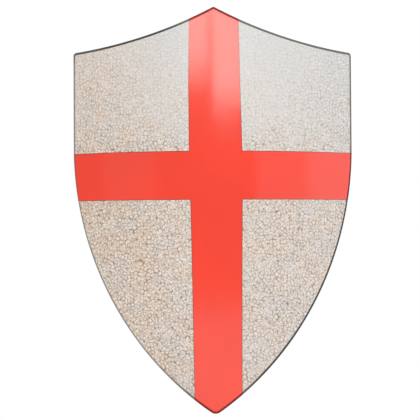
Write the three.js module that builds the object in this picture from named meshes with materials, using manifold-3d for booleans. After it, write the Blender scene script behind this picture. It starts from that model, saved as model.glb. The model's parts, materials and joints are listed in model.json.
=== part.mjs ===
// Heater shield: a bowed steel face with a wired edge and a painted cross, carried on two
// leather straps and hung by a D-shaped ring. Millimetres, +Z up, the face looks along -Y.
// The origin is on the back of the face, on its centre line, at the height of the bearer's arm.
import * as THREE from 'three';
import { mergeVertices, toCreasedNormals } from 'three/addons/utils/BufferGeometryUtils.js';
import Module from 'manifold-3d';

const wasm = await Module();
wasm.setup();

// Face outline, measured over the edge in the front view
const halfWidth = 255.2;
const peakHeight = 296.3;
const cornerHeight = 227;
const topRadius = 598;
const sideBendHeight = 56;
const sideRadius = 569;
const peakRounding = 5.4;
const cornerRounding = 6.5;
const tipRounding = 14;
const sideSteps = 17;

// Sheet, its bow from side to side, and the edge rolled round a wire
const sheet = 1.2;
const bow = 65;
const wireRadius = 1.15;
const clearance = 0.25;
const channelRadius = wireRadius + clearance;
const rollRadius = channelRadius + sheet;
const rollEnd = THREE.MathUtils.degToRad(205);
const rollSteps = 9;
const channelSteps = 7;
const wireSides = 8;

// Cross: a level bar, and an upright that widens where it meets the bar
const enamel = 0.3;
const enamelLift = 0.1;
const enamelMargin = 1.2;
const barHalfHeight = 42.8;
const upright = [
  { height: peakHeight, half: 43.4, shift: 0.2 },
  { height: 160, half: 45.6, shift: 0.7 },
  { height: barHalfHeight, half: 46.8, shift: 2.4 },
  { height: -barHalfHeight, half: 45.8, shift: 3.4 },
  { height: -175, half: 43.8, shift: 4 },
  { height: -peakHeight - halfWidth / 2, half: 42.4, shift: 4.8 },
];

// Straps and the welded staples that hold them
const leather = 3.6;
const strapWidth = 36;
const tailGap = 0.3;
const foldAngle = THREE.MathUtils.degToRad(15);
const staple = { rod: 2.5, height: 10, innerWidth: 42, bend: 4, weld: 4.4, weldHeight: 2.8 };
const rodSides = 8;
const seatGap = 0.3;
const forearm = {
  across: 118,
  halfSpan: 105,
  leave: THREE.MathUtils.degToRad(72),
  foldLength: 36,
  crownHalf: 36,
};
const grip = {
  across: -118,
  halfSpan: 64,
  leave: THREE.MathUtils.degToRad(66),
  foldLength: 32,
  crownHalf: 14,
};
const rivet = { shank: 1.6, cap: 4.4, dome: 1.3, apart: 9, back: 9 };

// Roller buckle on the forearm strap
const buckle = { rod: 2.2, innerWidth: 40, innerLength: 27, bend: 5.5, centre: -18.5 };
const roller = { outer: 3.5, halfLength: 15, sides: 14 };
const prong = {
  rod: 1.6,
  overhang: 3.5,
  eyeStart: THREE.MathUtils.degToRad(105),
  eyeSteps: 8,
  play: THREE.MathUtils.degToRad(15),
  slotHalf: 2.2,
};
const heelTail = 30;
const tongue = {
  beyondHeel: 108,
  tipLength: 22,
  holeRadius: 2.4,
  holePitch: 24,
  dip: 34,
  level: 3.5,
};
const keeper = { wall: 2.2, length: 12, ease: 0.6, beyondHeel: 56 };
const strapStep = 8;
const fineStep = 5.5;

// Hanger near the top: a bent strip welded on, and the ring it holds
const hanger = { belowPeak: 100.3, width: 16, strip: 2, foot: 15, bridgeHalf: 9, rise: 9.3, bend: 2.4 };
const hangerHeight = peakHeight - hanger.belowPeak;
const ring = { rod: 2.2, halfBar: 15, bend: 4, arcRadius: 17 };

const up = new THREE.Vector3(0, 0, 1);
const across = new THREE.Vector3(1, 0, 0);
const bowRadius = (halfWidth ** 2 + bow ** 2) / (2 * bow);
const bowAxis = bowRadius - sheet;

// Geometry helpers
function solidOf(geometry) {
  const bare = geometry.clone();
  bare.deleteAttribute('normal');
  bare.deleteAttribute('uv');
  const merged = mergeVertices(bare);
  const vertProperties = new Float32Array(merged.attributes.position.array);
  const triVerts = new Uint32Array(merged.index.array);
  return new wasm.Manifold(new wasm.Mesh({ numProp: 3, vertProperties, triVerts }));
}

function geometryOf(solid) {
  const mesh = solid.getMesh();
  const geometry = new THREE.BufferGeometry();
  geometry.setAttribute('position', new THREE.BufferAttribute(mesh.vertProperties, 3));
  geometry.setIndex(new THREE.BufferAttribute(mesh.triVerts, 1));
  return geometry;
}

function facingOut(geometry) {
  const points = geometry.attributes.position;
  const index = geometry.index.array;
  const corners = [new THREE.Vector3(), new THREE.Vector3(), new THREE.Vector3()];
  let volume = 0;
  for (let i = 0; i < index.length; i += 3) {
    corners.forEach((corner, k) => corner.fromBufferAttribute(points, index[i + k]));
    volume += corners[0].dot(corners[1].cross(corners[2]));
  }
  if (volume < 0) geometry.setIndex(Array.from(index).reverse());
  return geometry;
}

function indexed(points, index) {
  const geometry = new THREE.BufferGeometry();
  geometry.setAttribute('position', new THREE.Float32BufferAttribute(points.flatMap((p) => p.toArray()), 3));
  geometry.setIndex(index);
  return facingOut(geometry);
}

// Section frames along a line: outward lies across the line, square to normalAt
function framesAlong(points, closed, normalAt) {
  const count = points.length;
  return points.map((at, i) => {
    const before = closed || i > 0 ? points[(i + count - 1) % count] : null;
    const after = closed || i < count - 1 ? points[(i + 1) % count] : null;
    const inward = before ? at.clone().sub(before).normalize() : after.clone().sub(at).normalize();
    const onward = after ? after.clone().sub(at).normalize() : inward.clone();
    const tangent = inward.clone().add(onward).normalize();
    const normal = normalAt(i);
    const outward = tangent.clone().cross(normal).normalize();
    return { at, normal, outward, mitre: 1 / inward.dot(tangent) };
  });
}

function sectionPoint(frame, [u, v]) {
  return frame.at.clone()
    .addScaledVector(frame.outward, u * frame.mitre)
    .addScaledVector(frame.normal, v);
}

function bandIndex(ringCount, ringSize, closed, wrapSection) {
  const index = [];
  const rings = closed ? ringCount : ringCount - 1;
  const sides = wrapSection ? ringSize : ringSize - 1;
  for (let r = 0; r < rings; r += 1) {
    const here = r * ringSize;
    const there = ((r + 1) % ringCount) * ringSize;
    for (let k = 0; k < sides; k += 1) {
      const next = (k + 1) % ringSize;
      index.push(here + k, there + k, there + next, here + k, there + next, here + next);
    }
  }
  return index;
}

// A convex section swept along a line, mitred at every bend
function sweep(points, closed, normalAt, sectionAt) {
  const frames = framesAlong(points, closed, normalAt);
  const rings = frames.map((frame, i) => sectionAt(i).map((pair) => sectionPoint(frame, pair)));
  const size = rings[0].length;
  const index = bandIndex(rings.length, size, closed, true);
  if (!closed) {
    const end = (rings.length - 1) * size;
    for (let k = 1; k < size - 1; k += 1) index.push(0, k, k + 1, end, end + k + 1, end + k);
  }
  return indexed(rings.flat(), index);
}

function circleSection(radius, sides, centreV = 0) {
  return Array.from({ length: sides }, (_, k) => {
    const angle = (2 * Math.PI * (k + 0.5)) / sides;
    return [radius * Math.cos(angle), centreV + radius * Math.sin(angle)];
  });
}

function rod(points, closed, normal, radius) {
  const section = circleSection(radius, rodSides);
  return sweep(points, closed, () => normal, () => section);
}

function withoutRepeats(points) {
  return points.filter((p, i) => i === 0 || p.distanceTo(points[i - 1]) > clearance / 5);
}

// Outline of the face, moved inward by inset; every rounding keeps its centre
function circleAbove(a, b, radius) {
  const middle = a.clone().add(b).multiplyScalar(0.5);
  const half = a.distanceTo(b) / 2;
  const side = new THREE.Vector2(a.y - b.y, b.x - a.x).normalize();
  return middle.addScaledVector(side, Math.sqrt(radius ** 2 - half ** 2));
}

const topCentre = circleAbove(
  new THREE.Vector2(0, peakHeight),
  new THREE.Vector2(halfWidth, cornerHeight),
  topRadius,
);
const sideCentre = new THREE.Vector2(halfWidth - sideRadius, sideBendHeight);
const peakCentreZ = topCentre.y - Math.sqrt((topRadius + peakRounding) ** 2 - topCentre.x ** 2);
const cornerCentreX = halfWidth - cornerRounding;
const cornerCentreZ = topCentre.y
  - Math.sqrt((topRadius + cornerRounding) ** 2 - (cornerCentreX - topCentre.x) ** 2);
const tipCentreZ = sideCentre.y - Math.sqrt((sideRadius - tipRounding) ** 2 - sideCentre.x ** 2);

function outline(inset) {
  const peak = peakRounding - inset;
  const corner = cornerRounding - inset;
  const tip = tipRounding - inset;
  const top = topRadius + inset;
  const side = sideRadius - inset;
  const peakEnd = (peak * topCentre.x) / (topRadius + peakRounding);
  const cornerStart = cornerCentreX
    - (corner * (cornerCentreX - topCentre.x)) / (topRadius + cornerRounding);
  const tipEnd = (-tip * sideCentre.x) / (sideRadius - tipRounding);
  const topAt = (x) => {
    const far = Math.abs(x);
    if (far < peakEnd) return peakCentreZ + Math.sqrt(peak ** 2 - far ** 2);
    if (far > cornerStart) {
      return cornerCentreZ + Math.sqrt(Math.max(0, corner ** 2 - (far - cornerCentreX) ** 2));
    }
    return topCentre.y - Math.sqrt(top ** 2 - (far - topCentre.x) ** 2);
  };
  const lowAt = (x) => {
    const far = Math.abs(x);
    if (far < tipEnd) return tipCentreZ - Math.sqrt(tip ** 2 - far ** 2);
    return sideCentre.y - Math.sqrt(Math.max(0, side ** 2 - (far - sideCentre.x) ** 2));
  };
  const tipAngle = Math.acos((tipEnd - sideCentre.x) / side);
  const half = [0, peakEnd / 2, peakEnd, tipEnd / 3, (2 * tipEnd) / 3, tipEnd];
  for (let k = 1; k <= sideSteps; k += 1) {
    half.push(sideCentre.x + side * Math.cos(tipAngle * (1 - k / sideSteps)));
  }
  for (let k = 1; k <= 3; k += 1) half.push(cornerCentreX + corner * Math.cos((k * Math.PI) / 6));
  half.sort((a, b) => a - b);
  const right = half.filter((x, i) => i === 0 || x - half[i - 1] > clearance / 2);
  right[right.length - 1] = halfWidth - inset;
  const stations = [...right.slice(1).reverse().map((x) => -x), ...right];
  return { topAt, lowAt, stations };
}

// The bowed face: a point at x and z, and its direction into the sheet
function bowDirection(x) {
  const angle = Math.asin(x / bowRadius);
  return new THREE.Vector3(-Math.sin(angle), Math.cos(angle), 0);
}

function onFace(x, z, depth = 0) {
  const inward = bowDirection(x);
  const front = new THREE.Vector3(x, bowAxis - Math.sqrt(bowRadius ** 2 - x ** 2), z);
  return front.addScaledVector(inward, depth);
}

const edge = outline(rollRadius);
const rim = [
  ...edge.stations.map((x) => onFace(x, edge.topAt(x))),
  ...edge.stations.slice().reverse().map((x) => onFace(x, edge.lowAt(x))),
];
const rimNormal = (i) => bowDirection(rim[i].x);

function rollSection() {
  const from = -Math.PI / 2;
  const arc = (radius, steps) => Array.from({ length: steps + 1 }, (_, k) => {
    const angle = from + ((rollEnd - from) * k) / steps;
    return [radius * Math.cos(angle), rollRadius + radius * Math.sin(angle)];
  });
  return [...arc(rollRadius, rollSteps), ...arc(channelRadius, channelSteps).reverse()];
}

// Sheet face in upright strips, running on into the roll all round
function faceGeometry() {
  const section = rollSection();
  const size = section.length;
  const frames = framesAlong(rim, true, rimNormal);
  const points = frames.flatMap((frame) => section.map((pair) => sectionPoint(frame, pair)));
  const index = bandIndex(rim.length, size, true, false);
  for (let i = 0; i < edge.stations.length - 1; i += 1) {
    const low = rim.length - 1 - i;
    const front = [i, i + 1, low - 1, low].map((n) => n * size);
    const back = front.map((n) => n + size - 1);
    index.push(front[0], front[2], front[1], front[0], front[3], front[2]);
    index.push(back[0], back[1], back[2], back[0], back[2], back[3]);
  }
  return indexed(points, index);
}

function wireGeometry() {
  const section = circleSection(wireRadius, wireSides, rollRadius);
  return sweep(rim, true, rimNormal, () => section);
}

// A layer that follows the bow between two depths, taller and wider than the face
function bowedLayer(near, far) {
  const section = [
    ...edge.stations.map((x) => onFace(x, 0, near)),
    ...edge.stations.slice().reverse().map((x) => onFace(x, 0, far)),
  ];
  const shape = new THREE.Shape(section.map((p) => new THREE.Vector2(p.x, p.y)));
  const layer = new THREE.ExtrudeGeometry(shape, { depth: 4 * peakHeight, bevelEnabled: false });
  return layer.translate(0, 0, -2 * peakHeight);
}

function throughFace(shape) {
  const block = new THREE.ExtrudeGeometry(shape, { depth: 4 * bow, bevelEnabled: false });
  return block.rotateX(Math.PI / 2).translate(0, 2 * bow, 0);
}

function crossShape() {
  const side = (sign) => upright.map(({ height, half, shift }) => (
    new THREE.Vector2(shift + sign * half, height)
  ));
  const arm = (sign) => [
    new THREE.Vector2(sign * halfWidth, sign * barHalfHeight),
    new THREE.Vector2(sign * halfWidth, -sign * barHalfHeight),
  ];
  const right = side(1);
  const left = side(-1).reverse();
  return new THREE.Shape([
    ...right.slice(0, 3), ...arm(1), ...right.slice(3),
    ...left.slice(0, 3), ...arm(-1), ...left.slice(3),
  ]);
}

function crossGeometry() {
  const { topAt, lowAt, stations } = outline(rollRadius + enamelMargin);
  const field = new THREE.Shape([
    ...stations.map((x) => new THREE.Vector2(x, topAt(x))),
    ...stations.slice().reverse().map((x) => new THREE.Vector2(x, lowAt(x))),
  ]);
  const layer = solidOf(bowedLayer(-enamelLift - enamel, -enamelLift));
  return geometryOf(layer
    .intersect(solidOf(throughFace(field)))
    .intersect(solidOf(throughFace(crossShape()))));
}

// Arch of a strap in the plane of stand-off and height, through the centres of its two staples
function archOf({ halfSpan, leave, foldLength, crownHalf }) {
  const foldOut = foldLength * Math.sin(leave);
  const foldUp = foldLength * Math.cos(leave);
  const radius = (halfSpan - foldUp - crownHalf) / Math.sin(leave);
  const crown = staple.height + foldOut + radius * (1 - Math.cos(leave));
  const path = new THREE.Path();
  path.moveTo(staple.height, -halfSpan);
  path.lineTo(staple.height + foldOut, foldUp - halfSpan);
  path.absarc(crown - radius, -crownHalf, radius, -leave, 0, false);
  path.lineTo(crown, crownHalf);
  path.absarc(crown - radius, crownHalf, radius, 0, leave, false);
  path.lineTo(staple.height, halfSpan);
  const length = path.getLength();
  const at = (run, offset) => {
    const share = THREE.MathUtils.clamp(run / length, 0, 1);
    const tangent = path.getTangentAt(share);
    const point = path.getPointAt(share);
    return new THREE.Vector3(0, point.x + offset * tangent.y, point.y - offset * tangent.x);
  };
  const alongAt = (run) => {
    const tangent = path.getTangentAt(THREE.MathUtils.clamp(run / length, 0, 1));
    return new THREE.Vector3(0, tangent.x, tangent.y);
  };
  const outAt = (run) => alongAt(run).cross(across);
  const tilt = (run) => Math.atan2(-alongAt(run).y, alongAt(run).z);
  return { at, alongAt, outAt, tilt, length, crown };
}

// The strap turned back on itself round a bar: run and offset pairs, tail first
function foldPairs(barRadius, tailLength, tailAngle = foldAngle) {
  const wrap = barRadius + seatGap + leather / 2;
  const apart = (leather + tailGap) / 2;
  const touchRun = wrap * Math.sin(tailAngle);
  const touchOff = wrap * Math.cos(tailAngle);
  const neck = touchRun + (touchOff - apart) / Math.tan(tailAngle);
  const pairs = [[tailLength, -apart], [neck, -apart]];
  const from = tailAngle - Math.PI / 2;
  const turn = -Math.PI - 2 * tailAngle;
  for (let k = 0; k <= 8; k += 1) {
    const angle = from + (turn * k) / 8;
    pairs.push([wrap * Math.cos(angle), wrap * Math.sin(angle)]);
  }
  return [...pairs, [neck, apart]];
}

function foldPoints(arch, barRun, sense, barRadius, tailLength) {
  const bar = arch.at(barRun, 0);
  const along = arch.alongAt(barRun).multiplyScalar(sense);
  const out = arch.outAt(barRun);
  return foldPairs(barRadius, tailLength).map(([run, offset]) => (
    bar.clone().addScaledVector(along, run).addScaledVector(out, offset)
  ));
}

// Points along the arch through pairs of run and offset, eased from each to the next
function runPoints(arch, pairs, step) {
  const points = [];
  for (let i = 0; i < pairs.length - 1; i += 1) {
    const [fromRun, fromOff] = pairs[i];
    const [toRun, toOff] = pairs[i + 1];
    const parts = Math.max(1, Math.round((toRun - fromRun) / step));
    for (let k = 0; k < parts; k += 1) {
      const share = k / parts;
      const eased = THREE.MathUtils.smoothstep(share, 0, 1);
      points.push(arch.at(fromRun + (toRun - fromRun) * share, fromOff + (toOff - fromOff) * eased));
    }
  }
  const [run, offset] = pairs[pairs.length - 1];
  points.push(arch.at(run, offset));
  return points;
}

function strapGeometry(points, widthAt = () => strapWidth) {
  const line = withoutRepeats(points);
  const half = leather / 2;
  return sweep(line, false, () => across, (i) => {
    const edgeAt = widthAt(line[i], i, line.length) / 2;
    return [[-half, -edgeAt], [half, -edgeAt], [half, edgeAt], [-half, edgeAt]];
  });
}

const layerOffset = (leather + tailGap) / 2;
const forearmArch = archOf(forearm);
const gripArch = archOf(grip);
const middleRun = forearmArch.length / 2;
const halfBarGap = buckle.innerLength / 2 + buckle.rod;
const heelRun = middleRun + buckle.centre + halfBarGap;
const rollerRun = middleRun + buckle.centre - halfBarGap;
const overHeel = buckle.rod + leather + leather / 2 + 2 * seatGap;
const overRivet = layerOffset + leather + rivet.dome + 2 * seatGap;
const overStrap = 2 * layerOffset + layerOffset;
const underRoller = -(roller.outer + leather / 2 + seatGap);

function cutHole(solid, arch, run, offset, x, radius, depth) {
  const drill = new THREE.CylinderGeometry(radius, radius, depth, rodSides);
  drill.rotateX(arch.tilt(run));
  const at = arch.at(run, offset);
  drill.translate(x, at.y, at.z);
  return solid.subtract(solidOf(drill));
}

function rivetHoles(solid, arch, run) {
  const radius = rivet.shank + clearance;
  let cut = solid;
  for (const side of [-1, 1]) cut = cutHole(cut, arch, run, 0, side * rivet.apart, radius, 4 * leather);
  return cut;
}

// The prong hooks round the heel bar and runs on to rest on the roller
function prongLine(reach) {
  const eye = buckle.rod + clearance + prong.rod;
  const bar = forearmArch.at(heelRun, 0);
  const points = [];
  for (let k = 0; k <= prong.eyeSteps; k += 1) {
    const angle = -prong.eyeStart - ((2 * Math.PI - prong.eyeStart) * k) / prong.eyeSteps;
    points.push(new THREE.Vector3(0, bar.y + eye * Math.cos(angle), bar.z + eye * Math.sin(angle)));
  }
  const rest = roller.outer + seatGap + prong.rod;
  points.push(forearmArch.at(heelRun - eye, (3 * eye + rest) / 4));
  points.push(forearmArch.at(rollerRun, rest));
  points.push(forearmArch.at(rollerRun - prong.overhang - reach, rest));
  return points;
}

function prongGeometry(radius = prong.rod, reach = 0) {
  return rod(prongLine(reach), false, across, radius);
}

function buckleStrapGeometry() {
  const main = runPoints(forearmArch, [
    [heelRun + forearm.foldLength / 2, layerOffset],
    [forearmArch.length - forearm.foldLength, layerOffset],
  ], strapStep);
  let solid = solidOf(strapGeometry([
    ...foldPoints(forearmArch, heelRun, 1, buckle.rod, heelTail),
    ...main,
    ...foldPoints(forearmArch, forearmArch.length, -1, staple.rod, forearm.foldLength).reverse(),
  ]));
  const bar = forearmArch.at(heelRun, 0);
  const slot = new THREE.BoxGeometry(2 * prong.slotHalf, 6 * leather, 4 * leather);
  slot.translate(0, bar.y, bar.z + leather / 4);
  solid = solid.subtract(solidOf(slot));
  solid = rivetHoles(solid, forearmArch, heelRun + heelTail - rivet.back);
  return geometryOf(rivetHoles(solid, forearmArch, forearmArch.length - forearm.foldLength + rivet.back));
}

function tongueStrapGeometry() {
  const tipRun = heelRun + tongue.beyondHeel;
  const line = [
    ...foldPoints(forearmArch, 0, 1, staple.rod, forearm.foldLength),
    ...runPoints(forearmArch, [
      [forearm.foldLength, layerOffset],
      [rollerRun - tongue.dip, layerOffset],
      [rollerRun - tongue.level, underRoller],
      [rollerRun + tongue.level, underRoller],
      [heelRun - tongue.level, overHeel],
      [heelRun + tongue.level, overHeel],
      [heelRun + heelTail - rivet.back - rivet.cap, overRivet],
      [heelRun + heelTail - rivet.back + rivet.cap, overRivet],
      [heelRun + heelTail + rivet.back, overStrap],
      [tipRun - tongue.tipLength, overStrap],
      [tipRun, overStrap],
    ], fineStep),
  ];
  const end = line[line.length - 1];
  let solid = solidOf(strapGeometry(line, (point) => {
    const left = Math.min(1, point.distanceTo(end) / tongue.tipLength);
    return strapWidth * Math.max(0.16, Math.sqrt(1 - (1 - left) ** 2));
  }));
  const bar = forearmArch.at(heelRun, 0);
  for (const liftShare of [0, 0.25, 0.5, 0.75, 1]) {
    const swung = prongGeometry(prong.rod + seatGap, -prong.overhang / 2);
    swung.translate(0, -bar.y, -bar.z).rotateX(liftShare * prong.play).translate(0, bar.y, bar.z);
    solid = solid.subtract(solidOf(swung));
  }
  for (const step of [-3, -2, 2, 3]) {
    const run = heelRun - tongue.holePitch / 3 + step * tongue.holePitch;
    const offset = step < 0 ? layerOffset : overStrap;
    solid = cutHole(solid, forearmArch, run, offset, 0, tongue.holeRadius, 2 * leather);
  }
  return geometryOf(rivetHoles(solid, forearmArch, forearm.foldLength - rivet.back));
}

function gripStrapGeometry() {
  const solid = solidOf(strapGeometry([
    ...foldPoints(gripArch, 0, 1, staple.rod, grip.foldLength),
    ...runPoints(gripArch, [
      [grip.foldLength, layerOffset],
      [gripArch.length - grip.foldLength, layerOffset],
    ], strapStep),
    ...foldPoints(gripArch, gripArch.length, -1, staple.rod, grip.foldLength).reverse(),
  ]));
  const holed = rivetHoles(solid, gripArch, grip.foldLength - rivet.back);
  return geometryOf(rivetHoles(holed, gripArch, gripArch.length - grip.foldLength + rivet.back));
}

function rivetGeometry() {
  const grab = layerOffset + leather / 2 + seatGap;
  const shoulder = rivet.dome * 0.6;
  const half = [
    new THREE.Vector2(rivet.shank, grab),
    new THREE.Vector2(rivet.cap, grab),
    new THREE.Vector2(rivet.cap * 0.7, grab + shoulder),
    new THREE.Vector2(0, grab + rivet.dome),
  ];
  const other = half.map((p) => new THREE.Vector2(p.x, -p.y)).reverse();
  return facingOut(mergedPositions(new THREE.LatheGeometry([...other, ...half], 10)));
}

function mergedPositions(geometry) {
  geometry.deleteAttribute('normal');
  geometry.deleteAttribute('uv');
  const merged = mergeVertices(geometry);
  const index = Array.from(merged.index.array);
  const kept = [];
  for (let i = 0; i < index.length; i += 3) {
    const [a, b, c] = index.slice(i, i + 3);
    if (a !== b && b !== c && c !== a) kept.push(a, b, c);
  }
  merged.setIndex(kept);
  return merged;
}

function rollerGeometry() {
  const bore = buckle.rod + clearance;
  const { outer, halfLength, sides } = roller;
  const tube = new THREE.LatheGeometry([
    new THREE.Vector2(bore, -halfLength),
    new THREE.Vector2(outer, -halfLength),
    new THREE.Vector2(outer, halfLength),
    new THREE.Vector2(bore, halfLength),
    new THREE.Vector2(bore, -halfLength),
  ], sides);
  tube.rotateZ(Math.PI / 2);
  return facingOut(mergedPositions(tube));
}

function frameGeometry() {
  const halfX = buckle.innerWidth / 2 + buckle.rod;
  const { bend } = buckle;
  const y = forearmArch.crown;
  const middle = forearmArch.at(middleRun + buckle.centre, 0).z;
  const path = new THREE.Path();
  path.absarc(halfX - bend, halfBarGap - bend, bend, 0, Math.PI / 2, false);
  path.absarc(bend - halfX, halfBarGap - bend, bend, Math.PI / 2, Math.PI, false);
  path.absarc(bend - halfX, bend - halfBarGap, bend, Math.PI, 1.5 * Math.PI, false);
  path.absarc(halfX - bend, bend - halfBarGap, bend, 1.5 * Math.PI, 2 * Math.PI, false);
  const points = withoutRepeats(path.getPoints(3).map((p) => new THREE.Vector3(p.x, y, middle + p.y)));
  return rod(points, true, new THREE.Vector3(0, 1, 0), buckle.rod);
}

function keeperGeometry() {
  const halfX = strapWidth / 2 + keeper.ease;
  const halfY = layerOffset + leather / 2 + keeper.ease;
  const ringShape = (grow) => {
    const round = keeper.wall / 2 + grow;
    const x = halfX + grow;
    const y = halfY + grow;
    const path = new THREE.Shape();
    path.absarc(x - round, y - round, round, 0, Math.PI / 2, false);
    path.absarc(round - x, y - round, round, Math.PI / 2, Math.PI, false);
    path.absarc(round - x, round - y, round, Math.PI, 1.5 * Math.PI, false);
    path.absarc(x - round, round - y, round, 1.5 * Math.PI, 2 * Math.PI, false);
    return path;
  };
  const outer = ringShape(keeper.wall);
  outer.holes.push(ringShape(0));
  const loop = new THREE.ExtrudeGeometry(outer, {
    depth: keeper.length,
    bevelEnabled: false,
    curveSegments: 2,
  });
  return loop.translate(0, 0, -keeper.length / 2);
}

// A staple stands on the face: its legs are cut to the bow and welded round
function stapleGeometry(place) {
  const halfX = staple.innerWidth / 2 + staple.rod;
  const { bend, height } = staple;
  const path = new THREE.Path();
  path.moveTo(-halfX, -sheet);
  path.lineTo(-halfX, height - bend);
  path.absarc(bend - halfX, height - bend, bend, Math.PI, Math.PI / 2, true);
  path.absarc(halfX - bend, height - bend, bend, Math.PI / 2, 0, true);
  path.lineTo(halfX, -sheet);
  const points = withoutRepeats(path.getPoints(2).map((p) => new THREE.Vector3(p.x, p.y, 0)));
  let solid = solidOf(rod(points, false, up, staple.rod));
  for (const side of [-1, 1]) {
    const bead = new THREE.LatheGeometry([
      new THREE.Vector2(0, -sheet),
      new THREE.Vector2(staple.weld, -sheet),
      new THREE.Vector2(staple.weld, sheet),
      new THREE.Vector2((staple.weld + staple.rod) / 2, staple.weldHeight / 2 + sheet / 2),
      new THREE.Vector2(staple.rod * 0.9, staple.weldHeight + sheet),
      new THREE.Vector2(0, staple.weldHeight + sheet),
    ], 12);
    bead.translate(side * halfX, 0, 0);
    solid = solid.add(solidOf(facingOut(mergedPositions(bead))));
  }
  place.updateMatrixWorld(true);
  const face = bowedLayer(-4 * sheet, sheet + seatGap);
  face.applyMatrix4(place.matrixWorld.clone().invert());
  return geometryOf(solid.subtract(solidOf(face)));
}

function hangerGeometry() {
  const { width, strip, foot, bridgeHalf, rise, bend } = hanger;
  const low = seatGap + strip / 2;
  const path = new THREE.Path();
  path.moveTo(low, -bridgeHalf - foot);
  path.lineTo(low, -bridgeHalf - bend);
  path.absarc(low + bend, -bridgeHalf - bend, bend, Math.PI, Math.PI / 2, true);
  path.absarc(rise - bend, bend - bridgeHalf, bend, -Math.PI / 2, 0, false);
  path.absarc(rise - bend, bridgeHalf - bend, bend, 0, Math.PI / 2, false);
  path.absarc(low + bend, bridgeHalf + bend, bend, -Math.PI / 2, -Math.PI, true);
  path.lineTo(low, bridgeHalf + foot);
  const points = withoutRepeats(path.getPoints(2).map((p) => new THREE.Vector3(0, p.x, p.y)));
  const section = [
    [-strip / 2, -width / 2],
    [strip / 2, -width / 2],
    [strip / 2, width / 2],
    [-strip / 2, width / 2],
  ];
  return sweep(points, false, () => across, () => section);
}

function ringGeometry() {
  const { rod: radius, halfBar, bend, arcRadius } = ring;
  const path = new THREE.Path();
  path.absarc(halfBar - bend, -bend, bend, Math.PI / 2, 0, true);
  path.absarc(0, -arcRadius, halfBar, 0, -Math.PI, true);
  path.absarc(bend - halfBar, -bend, bend, Math.PI, Math.PI / 2, true);
  const points = withoutRepeats(path.getPoints(5).map((p) => new THREE.Vector3(p.x, 0, p.y)));
  return rod(points, true, new THREE.Vector3(0, 1, 0), radius);
}

// Materials
const creamEnamel = () => new THREE.MeshStandardMaterial({ color: '#d9d2c8', roughness: 0.42, metalness: 0 });
const redEnamel = () => new THREE.MeshStandardMaterial({ color: '#ee3b2c', roughness: 0.22, metalness: 0 });
const steel = () => new THREE.MeshStandardMaterial({ color: '#8d8c88', roughness: 0.38, metalness: 1 });
const brass = () => new THREE.MeshStandardMaterial({ color: '#b08a4a', roughness: 0.35, metalness: 1 });
const tannedLeather = () => new THREE.MeshStandardMaterial({ color: '#4d2f1d', roughness: 0.7, metalness: 0 });

const group = new THREE.Group();
const crease = THREE.MathUtils.degToRad(35);

function piece(name, geometry, material, parent = group) {
  const mesh = new THREE.Mesh(toCreasedNormals(geometry, crease), material);
  mesh.name = name;
  parent.add(mesh);
  return mesh;
}

// A place on the back of the face, turned to stand square to the bow
function placeOnBack(x) {
  const place = new THREE.Group();
  const radius = bowRadius - sheet;
  const angle = Math.asin(x / radius);
  place.position.set(x, bowAxis - radius * Math.cos(angle), 0);
  place.rotation.z = angle;
  group.add(place);
  return place;
}

function addStaples(place, halfSpan, label) {
  for (const [end, sign] of [['upper', 1], ['lower', -1]]) {
    const staplePiece = piece(`${label}_staple_${end}`, stapleGeometry(place), steel(), place);
    staplePiece.position.z = sign * halfSpan;
  }
}

function addRivets(place, arch, run, label) {
  for (const [side, sign] of [['left', -1], ['right', 1]]) {
    const mesh = piece(`${label}_rivet_${side}`, rivetGeometry(), brass(), place);
    mesh.position.copy(arch.at(run, 0));
    mesh.position.x = sign * rivet.apart;
    mesh.rotation.x = arch.tilt(run);
  }
}

piece('face_plate', faceGeometry(), creamEnamel());
piece('edge_wire', wireGeometry(), steel());
piece('painted_cross', crossGeometry(), redEnamel());

const forearmPlace = placeOnBack(forearm.across);
addStaples(forearmPlace, forearm.halfSpan, 'forearm');
piece('forearm_buckle_strap', buckleStrapGeometry(), tannedLeather(), forearmPlace);
piece('forearm_tongue_strap', tongueStrapGeometry(), tannedLeather(), forearmPlace);
piece('buckle_frame', frameGeometry(), brass(), forearmPlace);
piece('buckle_prong', prongGeometry(), brass(), forearmPlace);
const rollerPiece = piece('buckle_roller', rollerGeometry(), brass(), forearmPlace);
rollerPiece.position.copy(forearmArch.at(rollerRun, 0));
const keeperRun = heelRun + keeper.beyondHeel;
const keeperPiece = piece('strap_keeper', keeperGeometry(), tannedLeather(), forearmPlace);
keeperPiece.position.copy(forearmArch.at(keeperRun, 2 * layerOffset));
keeperPiece.rotation.x = forearmArch.tilt(keeperRun);
const archEnd = forearmArch.length - forearm.foldLength + rivet.back;
addRivets(forearmPlace, forearmArch, archEnd, 'forearm_upper');
addRivets(forearmPlace, forearmArch, forearm.foldLength - rivet.back, 'forearm_lower');
addRivets(forearmPlace, forearmArch, heelRun + heelTail - rivet.back, 'buckle_fold');

const gripPlace = placeOnBack(grip.across);
addStaples(gripPlace, grip.halfSpan, 'grip');
piece('hand_grip_strap', gripStrapGeometry(), tannedLeather(), gripPlace);
const gripEnd = gripArch.length - grip.foldLength + rivet.back;
addRivets(gripPlace, gripArch, gripEnd, 'grip_upper');
addRivets(gripPlace, gripArch, grip.foldLength - rivet.back, 'grip_lower');

const hangerPiece = piece('hanger_strip', hangerGeometry(), steel());
hangerPiece.position.z = hangerHeight;
const ringPiece = piece('hanger_ring', ringGeometry(), steel());
const tunnelFloor = hanger.strip / 2 - hanger.bridgeHalf;
ringPiece.position.set(
  0,
  seatGap + hanger.strip + seatGap + ring.rod,
  hangerHeight + tunnelFloor + seatGap + ring.rod,
);

export default group;
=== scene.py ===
# Heater shield in soft studio light: bowed painted face in front, straps and hanger behind
# Pieces are built in millimetres, and savePiece turns each one into metres
import json
from math import asin, atan2, cos, pi, radians, sin, sqrt, tan

import bmesh
import bpy
from mathutils import Matrix, Vector

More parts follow.
